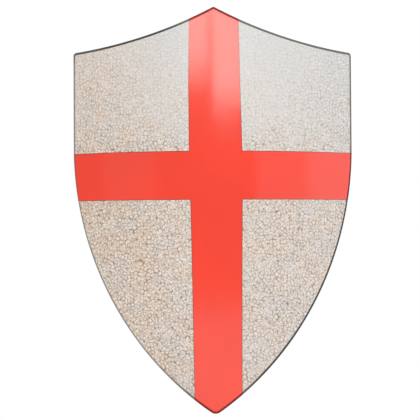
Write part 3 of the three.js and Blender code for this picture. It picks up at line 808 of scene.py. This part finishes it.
def archHalf(strap):
    leave = radians(strap["leave"])
    rise = strap["halfSpan"] - strap["foldLength"] * cos(leave) - strap["crownHalf"]
    return strap["foldLength"] + rise / sin(leave) * leave + strap["crownHalf"]


def archAt(strap, run, offset=0.0):
    # a point of the arch, and the direction away from the shield there
    leave = radians(strap["leave"])
    fold, crownHalf = strap["foldLength"], strap["crownHalf"]
    radius = (strap["halfSpan"] - fold * cos(leave) - crownHalf) / sin(leave)
    crown = staple["height"] + fold * sin(leave) + radius * (1 - cos(leave))
    fromMiddle = run - archHalf(strap)
    sign = 1 if fromMiddle > 0 else -1
    past = abs(fromMiddle) - crownHalf
    turn = min(leave, max(0, past) / radius)
    straight = max(0, past - radius * leave)
    stand = crown - radius * (1 - cos(turn)) - straight * sin(leave)
    height = min(abs(fromMiddle), crownHalf) + radius * sin(turn) + straight * cos(leave)
    out = Vector((0, cos(turn), sign * sin(turn)))
    return Vector((0, stand, sign * height)) + out * offset, out


def pointAt(strap, run, offset=0.0):
    return archAt(strap, run, offset)[0]


def alongAt(strap, run):
    out = archAt(strap, run)[1]
    return Vector((0, -out.z, out.y))


def foldPoints(strap, barRun, sense, barRadius, tail):
    # strap turned back on itself round a bar, from its tail to the start of its main layer
    bar, out = archAt(strap, barRun)
    along = alongAt(strap, barRun) * sense
    wrap = barRadius + leather["gap"] + leather["thick"] / 2
    lean = radians(leather["foldLean"])
    neck = wrap * sin(lean) + (wrap * cos(lean) - layer) / tan(lean)
    turns = evenly(lean - pi / 2, -lean - 3 * pi / 2, leather["foldSteps"])
    pairs = [(tail, -layer), (neck, -layer)]
    pairs += [(wrap * cos(turn), wrap * sin(turn)) for turn in turns] + [(neck, layer)]
    return [bar + along * run + out * offset for run, offset in pairs]


def runPoints(strap, pairs):
    # along the arch through pairs of run and offset, eased from each to the next
    points = []
    for (fromRun, fromOffset), (toRun, toOffset) in zip(pairs, pairs[1:]):
        parts = max(1, round((toRun - fromRun) / leather["pathStep"]))
        for part in range(parts):
            share = part / parts
            eased = share * share * (3 - 2 * share)
            run = fromRun + (toRun - fromRun) * share
            points.append(pointAt(strap, run, fromOffset + (toOffset - fromOffset) * eased))
    points.append(pointAt(strap, *pairs[-1]))
    return points


def layPath(points):
    # even stations along a middle line in the plane x = 0, and the outward direction at each
    lengths = [0.0]
    for first, second in zip(points, points[1:]):
        lengths.append(lengths[-1] + (second - first).length)
    count = round(lengths[-1] / leather["step"])
    stations, i = [], 0
    for step in range(count + 1):
        run = lengths[-1] * step / count
        while i < len(points) - 2 and lengths[i + 1] < run:
            i += 1
        stations.append(points[i].lerp(points[i + 1], (run - lengths[i]) / (lengths[i + 1] - lengths[i])))
    outs = []
    for i in range(count + 1):
        along = stations[min(i + 1, count)] - stations[max(i - 1, 0)]
        outs.append(Vector((0, along.z, -along.y)).normalized())
    return {"stations": stations, "outs": outs, "step": lengths[-1] / count, "length": lengths[-1]}


def nearestRun(path, point):
    # flat run of the station that lies nearest to a point
    gaps = [(station - point).length for station in path["stations"]]
    return gaps.index(min(gaps)) * path["step"]


def punchHole(bm, run, side, reach, radius):
    # a round hole, or an oblong one where reach is more than 0
    def nearestOnLine(spot):
        return Vector((max(run - reach, min(run + reach, spot.x)), side, 0))

    gone = []
    for item in bm.faces:
        middle = item.calc_center_median()
        if (middle - nearestOnLine(middle)).length < radius:
            gone.append(item)
    bmesh.ops.delete(bm, geom=gone, context="FACES")
    for vert in bm.verts:
        away = vert.co - nearestOnLine(vert.co)
        if vert.is_boundary and away.length < radius + leather["reach"]:
            vert.co = nearestOnLine(vert.co) + away.normalized() * radius


def cutStrap(path, halfRows, thick, holes, tipLength):
    # flat strap with its tip, holes, rounded edges and pressed crease lines
    bm = bmesh.new()
    dip = bm.verts.layers.float.new("dip")
    margin = bm.verts.layers.float.new("margin")
    rows = [-row for row in reversed(halfRows)] + [0] + halfRows
    bmesh.ops.create_grid(bm, x_segments=len(path["stations"]) - 1, y_segments=len(rows) - 1, size=0.5)
    for vert in bm.verts:
        vert.co.x = (vert.co.x + 0.5) * path["length"]
        vert.co.y = rows[round((vert.co.y + 0.5) * (len(rows) - 1))]
        vert[margin] = (halfRows[-1] - abs(vert.co.y)) * millimetre
        if abs(vert.co.y) == halfRows[-1]:
            vert[dip] = leather["edgeRound"]
        if abs(vert.co.y) == halfRows[-3]:
            vert[dip] = -leather["creaseDepth"]
        left = (path["length"] - vert.co.x) / tipLength if tipLength else 1
        if left < 1:
            vert.co.y *= max(leather["blunt"], sqrt(1 - (1 - left) ** 2))
    for spot, side, reach, radius in holes:
        punchHole(bm, nearestRun(path, spot), side, reach, radius)
    for vert in bm.verts:
        if vert.is_boundary:
            vert[margin] = 0
    made = bmesh.ops.extrude_face_region(bm, geom=bm.faces[:], use_keep_orig=True)["geom"]
    upper = {item for item in made if isinstance(item, bmesh.types.BMVert)}
    for vert in bm.verts:
        if vert in upper:
            vert.co.z = thick / 2 - abs(vert[dip])
        else:
            vert.co.z = max(0, vert[dip]) - thick / 2
    bm.verts.layers.float.remove(dip)
    bmesh.ops.recalc_face_normals(bm, faces=bm.faces)
    return bm


def bendStrap(bm, path):
    # lays the flat strap along its path, and notes how sharply each part is bent
    bend = bm.verts.layers.float.new("bend")
    stations, outs, last = path["stations"], path["outs"], len(path["stations"]) - 2
    for vert in bm.verts:
        along = vert.co.x / path["step"]
        i = max(0, min(int(along), last))
        middle = stations[i].lerp(stations[i + 1], along - i)
        out = outs[i].lerp(outs[i + 1], along - i)
        vert[bend] = min(1, 5 * outs[i].angle(outs[i + 1]) / path["step"])
        vert.co = middle + out * vert.co.z + Vector((vert.co.y, 0, 0))


def sewLine(bm, line, height):
    # stitches along a line of points of the flat strap, on the side that height is on
    left = stitch["pitch"]
    for start, end in zip(line, line[1:]):
        span = (end - start).length
        heading = atan2(end.y - start.y, end.x - start.x) + radians(stitch["lean"])
        while left < span:
            spot = start.lerp(end, left / span)
            lay = Matrix.Translation((spot.x, spot.y, height)) @ Matrix.Rotation(heading, 4, "Z")
            size = Matrix.Diagonal((stitch["length"] / 2, stitch["half"], stitch["half"], 1))
            bmesh.ops.create_uvsphere(bm, u_segments=6, v_segments=6, radius=1,
                                      matrix=lay @ size @ Matrix.Rotation(pi / 2, 4, "Y"))
            left += stitch["pitch"]
        left -= span


def sewStrap(bm, path, seams):
    # each seam: first and last point of the strap, which face, and the length of a rounded tip
    thread = bmesh.new()
    across = leather["width"] / 2 - stitch["fromEdge"]
    for first, last, side, tipLength in seams:
        height = side * (leather["thick"] / 2 - stitch["sink"])
        start, end = nearestRun(path, first), nearestRun(path, last)
        if not tipLength:
            for sign in (-1, 1):
                sewLine(thread, [Vector((start, sign * across)), Vector((end, sign * across))], height)
            continue
        line = [Vector((start, across))]
        for turn in evenly(pi / 2, -pi / 2, leather["foldSteps"]):
            nose = (tipLength - stitch["fromEdge"]) * cos(turn)
            line.append(Vector((path["length"] - tipLength + nose, across * sin(turn))))
        line.append(Vector((start, -across)))
        sewLine(thread, line, height)
    for item in thread.faces:
        item.material_index = 1
    joinPart(bm, thread)


def buildStrap(node, place, points, holes=(), seams=(), tipLength=0, name=None, plan=leather):
    path = layPath(points)
    bm = cutStrap(path, plan["rows"] + [plan["width"] / 2], plan["thick"], holes, tipLength)
    sewStrap(bm, path, seams)
    lay = bm.verts.layers.float_vector.new("lay")
    for vert in bm.verts:
        vert[lay] = vert.co * millimetre
    bendStrap(bm, path)
    savePiece(bm, node, [oiledLeather, waxedThread], place, name=name)


def startLeather():
    hide = {
        "brown": (0.112, 0.044, 0.019),
        "deep": (0.048, 0.018, 0.008),
        "worn": (0.25, 0.125, 0.062),
        "cutEdge": (0.040, 0.020, 0.012),
        "crease": 0.0017,  # metres in from the cut edge
        "shoulder": (0.0034, 0.0022, 0.16, 0.55),
        "edge": (0.0008, 0.0003),
        "clouds": 45,  # noise scales, to a metre
        "patches": 150,
        "wrinkles": 700,
        "pores": 1100,
        "relief": 0.0003,
    }
    material, shader = startMaterial("oiledLeather", roughness=0.5)
    place = readAttribute(shader, "lay", "Vector")
    margin, bend = readAttribute(shader, "margin"), readAttribute(shader, "bend")
    cloud = addNoise(place, hide["clouds"], detail=5)
    colour = addMix(addStep(cloud, 0.3, 0.7), hide["deep"], hide["brown"])
    # rubbed pale where it bends, beside its edges and in patches
    patch = addStep(addNoise(place, hide["patches"], detail=5, roughness=0.65), 0.42, 0.72)
    paler = larger(multiply(bend, 0.75), addStep(margin, *hide["shoulder"]))
    colour = addMix(multiply(patch, paler), colour, hide["worn"])
    scratch = larger(addScratches(place, (0, 0, 0.35), (50, 1, 1), 190, 0.014, (0.54, 0.64)),
                     addScratches(place, (0, 0, -0.7), (40, 1, 1), 230, 0.012, (0.56, 0.66)))
    colour = addMix(multiply(scratch, 0.55), colour, hide["worn"])
    fromCrease = addMath("ABSOLUTE", addMath("SUBTRACT", margin, hide["crease"]))
    colour = addMix(addStep(fromCrease, 0.0006, 0.0002, 0.0, 0.85), colour, hide["deep"])
    edge = addStep(margin, *hide["edge"])
    setInputs(shader, {
        "Base Color": addMix(edge, colour, hide["cutEdge"]),
        "Roughness": multiplyAdd(edge, -0.14, addStep(cloud, 0.3, 0.7, 0.42, 0.58)),
    })
    grain = addNode(place, "TexVoronoi", {"feature": "DISTANCE_TO_EDGE"}, Vector=place, Scale=hide["pores"])
    pores = addStep(grain.outputs["Distance"], 0.0, 0.3)
    drawn = addNode(place, "Mapping", Vector=place, Scale=(1, 0.12, 0.12)).outputs[0]
    wrinkle = multiply(addNoise(drawn, hide["wrinkles"], detail=2), bend)
    addBump(shader, multiplyAdd(scratch, -0.9, multiplyAdd(wrinkle, 3.0, pores)), hide["relief"])
    return material


def startThread():
    thread = {"flax": (0.50, 0.40, 0.26), "soiled": (0.30, 0.21, 0.12), "strands": 900, "relief": 0.0002}
    material, shader = startMaterial("waxedThread", roughness=0.55)
    place = readAttribute(shader, "lay", "Vector")
    soil = addStep(addNoise(place, 60), 0.35, 0.7)
    linkOrSet(shader.inputs["Base Color"], addMix(soil, thread["flax"], thread["soiled"]))
    fibre = addNode(place, "Mapping", Vector=place, Rotation=(0, 0, 0.6), Scale=(1, 4, 4)).outputs[0]
    addBump(shader, addNoise(fibre, thread["strands"], detail=2), thread["relief"])
    return material


# Metal: rods bent along a line, rivets, and beads of weld
def frameAt(points, i, side, radius, closed):
    # square to the line at point i, scaled so that a unit circle gets the rod's radius
    last = len(points) - 1
    before = points[(i - 1) % len(points)] if closed else points[max(i - 1, 0)]
    after = points[(i + 1) % len(points)] if closed else points[min(i + 1, last)]
    along = (after - before).normalized()
    across = (side - along * side.dot(along)).normalized()
    turn = turnTo(across, along.cross(across), along)
    return Matrix.Translation(points[i]) @ turn @ Matrix.Scale(radius, 4)


def sweepRod(bm, points, radius, side, closed=False, sides=16, tip=None):
    radii = [radius] * (len(points) - 1) + [tip or radius]
    ring = bmesh.ops.create_circle(bm, segments=sides, radius=1)["verts"]
    edges = list({edge for vert in ring for edge in vert.link_edges})
    frame = frameAt(points, 0, side, radii[0], closed)
    bmesh.ops.transform(bm, matrix=frame, verts=ring)
    first = edges
    for i in range(1, len(points)):
        made = bmesh.ops.extrude_edge_only(bm, edges=edges)["geom"]
        ring = [item for item in made if isinstance(item, bmesh.types.BMVert)]
        fresh = set(ring)
        edges = [item for item in made if isinstance(item, bmesh.types.BMEdge) and set(item.verts) <= fresh]
        following = frameAt(points, i, side, radii[i], closed)
        bmesh.ops.transform(bm, matrix=following @ frame.inverted(), verts=ring)
        frame = following
    if closed:
        bmesh.ops.bridge_loops(bm, edges=first + edges)
    else:
        bmesh.ops.holes_fill(bm, edges=first + edges, sides=sides)
    bmesh.ops.recalc_face_normals(bm, faces=bm.faces)


def bendRound(corners, steps, leg=None):
    # points of a line of arcs, each given as centre across, centre up, radius, start and end in degrees;
    # leg is how far out and how high a straight leg at both ends stops
    points = []
    for x, z, radius, start, end in corners:
        for turn in evenly(start, end, steps):
            points.append(Vector((x + radius * cos(radians(turn)), 0, z + radius * sin(radians(turn)))))
    if leg:
        points = [Vector((-leg[0], 0, leg[1])), *points, Vector((leg[0], 0, leg[1]))]
    return points


def spinProfile(bm, profile, sides):
    # closed shape turned from pairs of radius and height round z
    rim = [bm.verts.new((radius, 0, height)) for radius, height in profile]
    edges = [bm.edges.new(pair) for pair in zip(rim, rim[1:])]
    bmesh.ops.spin(bm, geom=rim + edges, cent=(0, 0, 0), axis=(0, 0, 1), angle=2 * pi, steps=sides,
                   use_merge=True)
    bmesh.ops.remove_doubles(bm, verts=bm.verts, dist=0.001)
    bmesh.ops.recalc_face_normals(bm, faces=bm.faces)


def startMetal(name, pale, dark, stain, roughness):
    material, shader = startMaterial(name, roughness=roughness, metallic=1.0)
    place = objectPlace(shader)
    cloud = addNoise(place, 160, detail=6, roughness=0.62)
    spots = addStep(addNoise(place, 320, detail=5, roughness=0.7), 0.58, 0.72, 0.0, 0.7)
    scratch = larger(addScratches(place, (0.3, 0.5, 0), (1, 1, 30), 520, 0.03, (0.42, 0.55)),
                     addScratches(place, (0.9, -0.6, 0.4), (1, 30, 1), 460, 0.03, (0.45, 0.58)))
    rough = multiplyAdd(spots, 0.2, addStep(cloud, 0.3, 0.7, roughness, roughness + 0.16))
    setInputs(shader, {
        "Base Color": addMix(spots, addMix(addStep(cloud, 0.35, 0.72), pale, dark), stain),
        "Roughness": multiplyAdd(scratch, 0.18, rough),
    })
    addBump(shader, multiplyAdd(scratch, -0.5, cloud), 0.0001, 0.6)
    return material


rivet = {
    "shank": 1.6,
    "cap": 4.4,
    "lip": 0.3,
    "undercut": 0.2,
    "dome": 1.6,
    "burr": [(0, 1.5), (1.6, 1.25), (2.1, 0.7), (2.3, 0.62)],  # radius, and height over the leather
    "washer": (0.6, 0.35),  # its height inside and at its edge
    "press": 0.02,  # stand-off from the leather
    "apart": 9,
    "back": 9,
    "hole": 1.85,
    "sides": 28,
}


def buildRivets(label, place, strap, run):
    grab = layer + leather["thick"] / 2 + rivet["press"]
    cap, shank, lip = rivet["cap"], rivet["shank"], rivet["lip"]
    inner, outer = rivet["washer"]
    head = [(shank, grab), (cap - rivet["undercut"], grab)]
    for turn in evenly(0, pi / 2, 6):
        head.append((cap * cos(turn), grab + lip + (rivet["dome"] - lip) * sin(turn)))
    burr = [(radius, -grab - stand) for radius, stand in rivet["burr"]]
    burr += [(cap - lip, -grab - inner), (cap, -grab - outer), (cap, -grab), (shank, -grab)]
    middle, out = archAt(strap, run)
    for side, sign in (("left", -1), ("right", 1)):
        bm = bmesh.new()
        spinProfile(bm, burr + head, rivet["sides"])
        spot = middle + Vector((sign * rivet["apart"], 0, 0))
        lay = Matrix.Translation(spot) @ turnTo(Vector((1, 0, 0)), -alongAt(strap, run), out)
        savePiece(bm, f"{label}_rivet_{side}", [dulledBrass], place @ lay)


def buildStaple(node, place, height):
    rod, bend = staple["rod"], staple["bend"]
    halfX, corner = staple["innerWidth"] / 2 + rod, staple["height"] - bend
    sink = halfX ** 2 / (2 * bowAxis)  # how far the bow rises to meet a leg
    corners = [(bend - halfX, corner, bend, 180, 90), (halfX - bend, corner, bend, 90, 0)]
    line = bendRound(corners, staple["arcSteps"], (halfX, sink))
    bm = bmesh.new()
    sweepRod(bm, [Vector((point.x, point.z, 0)) for point in line], rod, Vector((0, 0, 1)))
    rim, top, neck = staple["beadRadius"], staple["beadHeight"], staple["beadNeck"]
    dome = [(rim - (rim - neck) * (1 - cos(turn)), top * sin(turn)) for turn in evenly(0, pi / 2, 6)]
    for side in (-1, 1):
        bead = bmesh.new()
        spinProfile(bead, [(0, 0), *dome, (0, top)], staple["beadSides"])
        for vert in bead.verts:
            turn = atan2(vert.co.y, vert.co.x)
            if vert.co.z > staple["beadSink"]:
                vert.co *= 1 + 0.05 * sin(9 * turn + side) + 0.03 * sin(5 * turn)
        foot = (side * halfX, sink - staple["beadSink"], 0)
        lay = Matrix.Translation(foot) @ Matrix.Rotation(-pi / 2, 4, "X")
        bmesh.ops.transform(bead, matrix=lay, verts=bead.verts)
        joinPart(bm, bead)
    savePiece(bm, node, [paintedRod], place @ Matrix.Translation((0, 0, height)))


# Roller buckle on the forearm strap
buckle = {
    "rod": 2.2,
    "innerWidth": 40,
    "innerLength": 27,
    "bend": 5.5,
    "arcSteps": 8,
    "centre": -18.5,  # from the middle of the arch
    "heelTail": 30,
    "opening": 12.8,  # half length of the slot that the prong's eye stands in
}
roller = {
    "outer": 3.5,
    "bore": 2.45,
    "halfLength": 15,
    "lip": 0.35,
    "seam": 5,  # degrees
    "sides": 36,
}
prong = {
    "rod": 1.6,
    "tip": 0.7,
    "clearance": 0.25,
    "overRoller": 0.3,
    "overhang": 3.5,
    "eyeStart": 105,  # degrees
    "eyeSteps": 24,
    "neck": 3,  # over which it comes off the eye
    "slot": 2.2,
}
tongue = {
    "beyondHeel": 108,
    "tipLength": 22,
    "hole": 2.4,
    "pitch": 24,
    "dip": 34,
    "level": 3.5,
    "clearance": 0.6,
    "opening": 7.0,  # half length of the hole that the prong lifts in
    "openingBack": 8.7,
    "openingStand": 6,
}
keeper = {
    "thick": 2.2,
    "width": 12,
    "rows": [2.0, 3.9, 4.6, 5.3],
    "bend": 2.4,
    "arcSteps": 8,
    "joint": 0.2,  # half the gap between its ends
    "ease": 0.6,
    "beyondHeel": 56,
}
middleRun = archHalf(forearm)
halfBarGap = buckle["innerLength"] / 2 + buckle["rod"]
heelRun = middleRun + buckle["centre"] + halfBarGap
rollerRun = middleRun + buckle["centre"] - halfBarGap
heelRivets = heelRun + buckle["heelTail"] - rivet["back"]
tipRun = heelRun + tongue["beyondHeel"]


def rivetHoles(strap, *runs):
    spots = [pointAt(strap, run, offset) for run in runs for offset in (layer, -layer)]
    return [(spot, sign * rivet["apart"], 0, rivet["hole"]) for spot in spots for sign in (-1, 1)]


def foldRivets(strap):
    # where the rivets of the lower and the upper fold sit
    fromEnd = strap["foldLength"] - rivet["back"]
    return fromEnd, 2 * archHalf(strap) - fromEnd


def buildBuckleStrap(place):
    strap, fold = forearm, forearm["foldLength"]
    full = 2 * archHalf(strap)
    points = foldPoints(strap, heelRun, 1, buckle["rod"], buckle["heelTail"])
    wrap = points[1:-1]
    points += runPoints(strap, [(heelRun + fold / 2, layer), (full - fold, layer)])
    points += reversed(foldPoints(strap, full, -1, staple["rod"], fold))
    holes = [(wrap[len(wrap) // 2], 0, buckle["opening"], prong["slot"])]
    holes += rivetHoles(strap, heelRivets, foldRivets(strap)[1])
    upperEnd = pointAt(strap, full - fold - stitch["fromFold"], layer)
    seams = [
        (pointAt(strap, heelRun + buckle["heelTail"] + stitch["fromFold"], layer), upperEnd, -1, 0),
        (pointAt(strap, tipRun + stitch["beyondTip"], layer), upperEnd, 1, 0),
    ]
    buildStrap("forearm_buckle_strap", place, points, holes, seams)


def buildTongueStrap(place):
    # from its staple under the roller, over the heel bar and the rivets, and on to its tip
    strap, fold = forearm, forearm["foldLength"]
    overHeel = buckle["rod"] + 1.5 * leather["thick"] + tongue["clearance"]
    overRivet = layer + leather["thick"] + rivet["dome"] + tongue["clearance"]
    overStrap = 3 * layer
    under = -(roller["outer"] + leather["thick"] / 2 + leather["gap"])
    level, dipRun = tongue["level"], rollerRun - tongue["dip"]
    points = foldPoints(strap, 0, 1, staple["rod"], fold) + runPoints(strap, [
        (fold, layer),
        (dipRun, layer),
        (rollerRun - level, under),
        (rollerRun + level, under),
        (heelRun - level, overHeel),
        (heelRun + level, overHeel),
        (heelRivets - rivet["cap"], overRivet),
        (heelRivets + rivet["cap"], overRivet),
        (heelRun + buckle["heelTail"] + rivet["back"], overStrap),
        (tipRun, overStrap),
    ])
    spot = pointAt(strap, heelRun - tongue["openingBack"], tongue["openingStand"])
    holes = [(spot, 0, tongue["opening"], prong["slot"])]
    for step in (-3, -2, 2, 3):
        run = heelRun - tongue["pitch"] / 3 + step * tongue["pitch"]
        holes.append((pointAt(strap, run, layer if step < 0 else overStrap), 0, 0, tongue["hole"]))
    holes += rivetHoles(strap, foldRivets(strap)[0])
    lowerStart = pointAt(strap, fold + stitch["fromFold"], layer)
    seams = [
        (lowerStart, points[-1], 1, tongue["tipLength"]),
        (lowerStart, pointAt(strap, dipRun, layer), -1, 0),
    ]
    buildStrap("forearm_tongue_strap", place, points, holes, seams, tongue["tipLength"])


def buildGripStrap(place):
    strap, fold, rod = grip, grip["foldLength"], staple["rod"]
    full = 2 * archHalf(strap)
    points = foldPoints(strap, 0, 1, rod, fold)
    points += runPoints(strap, [(fold, layer), (full - fold, layer)])
    points += reversed(foldPoints(strap, full, -1, rod, fold))
    end = fold + stitch["fromFold"]
    ends = [pointAt(strap, run, layer) for run in (end, full - end)]
    seams = [(*ends, side, 0) for side in (1, -1)]
    holes = rivetHoles(strap, *foldRivets(strap))
    buildStrap("hand_grip_strap", place, points, holes, seams, name="gripStrap")


def buildKeeper(place):
    # a loop of strap whose ends butt on its inner side
    thick, bend = keeper["thick"], keeper["bend"]
    halfX = leather["width"] / 2 + keeper["ease"] + thick / 2
    halfY = layer + leather["thick"] / 2 + keeper["ease"] + thick / 2
    x, y = halfX - bend, halfY - bend
    corners = [(-x, -y, bend, -90, -180), (-x, y, bend, 180, 90), (x, y, bend, 90, 0), (x, -y, bend, 0, -90)]
    line = bendRound(corners, keeper["arcSteps"], (keeper["joint"], -halfY))
    run = heelRun + keeper["beyondHeel"]
    middle, out = archAt(forearm, run, 2 * layer)
    # the loop is laid in the plane x = 0 and then turned across the strap
    flat = [Vector((0, point.z, point.x)) for point in line]
    lay = Matrix.Translation(middle) @ turnTo(alongAt(forearm, run), out, Vector((-1, 0, 0)))
    buildStrap("strap_keeper", place @ lay, flat, plan=keeper)


def buildFrame(place):
    rod, bend = buckle["rod"], buckle["bend"]
    x, z = buckle["innerWidth"] / 2 + rod - bend, halfBarGap - bend
    corners = [(x, z, bend, 0, 90), (-x, z, bend, 90, 180), (-x, -z, bend, 180, 270), (x, -z, bend, 270, 360)]
    bm = bmesh.new()
    sweepRod(bm, bendRound(corners, buckle["arcSteps"]), rod, Vector((0, 1, 0)), closed=True)
    spot = (0, pointAt(forearm, middleRun).y, pointAt(forearm, middleRun + buckle["centre"]).z)
    savePiece(bm, "buckle_frame", [dulledBrass], place @ Matrix.Translation(spot))


def buildRoller(place):
    outer, bore, half, lip = (roller[key] for key in ("outer", "bore", "halfLength", "lip"))
    shape = [(bore, -half), (outer - lip, -half), (outer, lip - half),
             (outer, half - lip), (outer - lip, half), (bore, half)]
    bm = bmesh.new()
    wall = bm.faces.new([bm.verts.new((radius, 0, height)) for radius, height in shape])
    turn = 2 * pi - radians(roller["seam"])
    bmesh.ops.spin(bm, geom=[wall], cent=(0, 0, 0), axis=(0, 0, 1), angle=turn, steps=roller["sides"])
    bmesh.ops.recalc_face_normals(bm, faces=bm.faces)
    lay = Matrix.Translation(pointAt(forearm, rollerRun)) @ Matrix.Rotation(pi / 2, 4, "Y")
    savePiece(bm, "buckle_roller", [dulledBrass], place @ lay, "roller")


def buildProng(place):
    # its eye goes round the heel bar, and its tip rests on the roller
    rod, bar = prong["rod"], pointAt(forearm, heelRun)
    eye = buckle["rod"] + prong["clearance"] + rod
    rest = roller["outer"] + prong["overRoller"] + rod
    turns = evenly(-radians(prong["eyeStart"]), -2 * pi, prong["eyeSteps"])
    points = [bar + Vector((0, eye * cos(turn), eye * sin(turn))) for turn in turns]
    points.append(pointAt(forearm, heelRun - eye, (3 * eye + rest) / 4))
    shank = evenly(heelRun - eye - prong["neck"], rollerRun - prong["overhang"], 12)
    points += [pointAt(forearm, run, rest) for run in shank]
    bm = bmesh.new()
    sweepRod(bm, points, rod, Vector((1, 0, 0)), tip=prong["tip"])
    savePiece(bm, "buckle_prong", [dulledBrass], place, "prong")


# Hanger near the top: a bent strip welded to the back, and its ring
hanger = {
    "height": face["peakHeight"] - 100.3,
    "width": 16,
    "rows": [2.5, 5.0, 7.0, 7.7, 8.0],  # one half of the strip, from its middle out
    "strip": 2,
    "foot": 15,
    "bridgeHalf": 9,
    "rise": 9.3,
    "bend": 2.4,
    "arcSteps": 6,
    "seat": 0.3,
}
ring = {"rod": 2.2, "halfBar": 15, "bend": 4, "arcRadius": 17, "arcSteps": 30, "sides": 20}


def weldFeet(bm):
    # overlapping ripples of weld down both sides of each foot
    weld = {
        "count": 10,
        "pitch": 1.15,
        "size": (1.6, 1.25, 1.5),
        "fromEnd": 0.6,
        "out": 0.4,
        "stand": 0.5,
        "sway": 0.12,
    }
    first = hanger["bridgeHalf"] + hanger["foot"] - weld["fromEnd"]
    across = hanger["width"] / 2 + weld["out"]
    for side in (-1, 1):
        for end in (-1, 1):
            for i in range(weld["count"]):
                spot = (side * across, weld["stand"], end * (first - i * weld["pitch"]))
                lay = Matrix.Translation(spot) @ Matrix.Rotation(weld["sway"] * (-1) ** i, 4, "Z")
                bmesh.ops.create_uvsphere(bm, u_segments=12, v_segments=8, radius=1,
                                          matrix=lay @ Matrix.Diagonal((*weld["size"], 1)))


def buildHanger():
    strip, bend, rise, bridge = (hanger[key] for key in ("strip", "bend", "rise", "bridgeHalf"))
    low = hanger["seat"] + strip / 2
    corners = [(-bridge - bend, low + bend, bend, -90, 0), (bend - bridge, rise - bend, bend, 180, 90),
               (bridge - bend, rise - bend, bend, 90, 0), (bridge + bend, low + bend, bend, 180, 270)]
    line = bendRound(corners, hanger["arcSteps"], (bridge + hanger["foot"], low))
    path = layPath([Vector((0, point.z, point.x)) for point in line])
    bm = cutStrap(path, hanger["rows"], strip, [], 0)
    bendStrap(bm, path)
    weldFeet(bm)
    lay = Matrix.Translation((0, 0, hanger["height"]))
    savePiece(bm, "hanger_strip", [paintedRod], lay)


def buildRing():
    rod, halfBar, arc, bend = (ring[key] for key in ("rod", "halfBar", "arcRadius", "bend"))
    corners = [(halfBar - bend, -bend, bend, 90, 0), (0, -arc, halfBar, 0, -180),
               (bend - halfBar, -bend, bend, 180, 90)]
    line = bendRound(corners, ring["arcSteps"])
    bm = bmesh.new()
    sweepRod(bm, line, rod, Vector((0, 1, 0)), closed=True, sides=ring["sides"])
    strip, seat = hanger["strip"], hanger["seat"]
    height = hanger["height"] + strip / 2 - hanger["bridgeHalf"] + seat + rod
    lay = Matrix.Translation((0, 2 * seat + strip + rod, height))
    savePiece(bm, "hanger_ring", [wornSteel], lay, "ring")


aimCamera()
lightStudio()
layFloor()
print("camera, lamps and floor")
buildFace()
print("face")
buildCross()
print("cross")
oiledLeather = startLeather()
waxedThread = startThread()
dulledBrass = startMetal("dulledBrass", (0.70, 0.48, 0.19), (0.44, 0.27, 0.10), (0.16, 0.09, 0.04), 0.24)
wornSteel = startMetal("wornSteel", (0.40, 0.39, 0.38), (0.25, 0.245, 0.24), (0.10, 0.06, 0.038), 0.3)
paintedRod = backPaint()
forearmPlace = placeOnBack(forearm["across"])
gripPlace = placeOnBack(grip["across"])
buildBuckleStrap(forearmPlace)
buildTongueStrap(forearmPlace)
buildGripStrap(gripPlace)
buildKeeper(forearmPlace)
print("straps")
for label, place, strap in (("forearm", forearmPlace, forearm), ("grip", gripPlace, grip)):
    for end, run in zip(("lower", "upper"), foldRivets(strap)):
        buildRivets(f"{label}_{end}", place, strap, run)
    for end, sign in (("lower", -1), ("upper", 1)):
        buildStaple(f"{label}_staple_{end}", place, sign * strap["halfSpan"])
buildRivets("buckle_fold", forearmPlace, forearm, heelRivets)
print("rivets and staples")
buildFrame(forearmPlace)
buildRoller(forearmPlace)
buildProng(forearmPlace)
print("buckle")
buildHanger()
buildRing()
print("hanger and ring")
for slot in bpy.data.objects["edge_wire"].material_slots:
    slot.material = wornSteel

scene = bpy.context.scene
scene.view_settings.view_transform = "Standard"
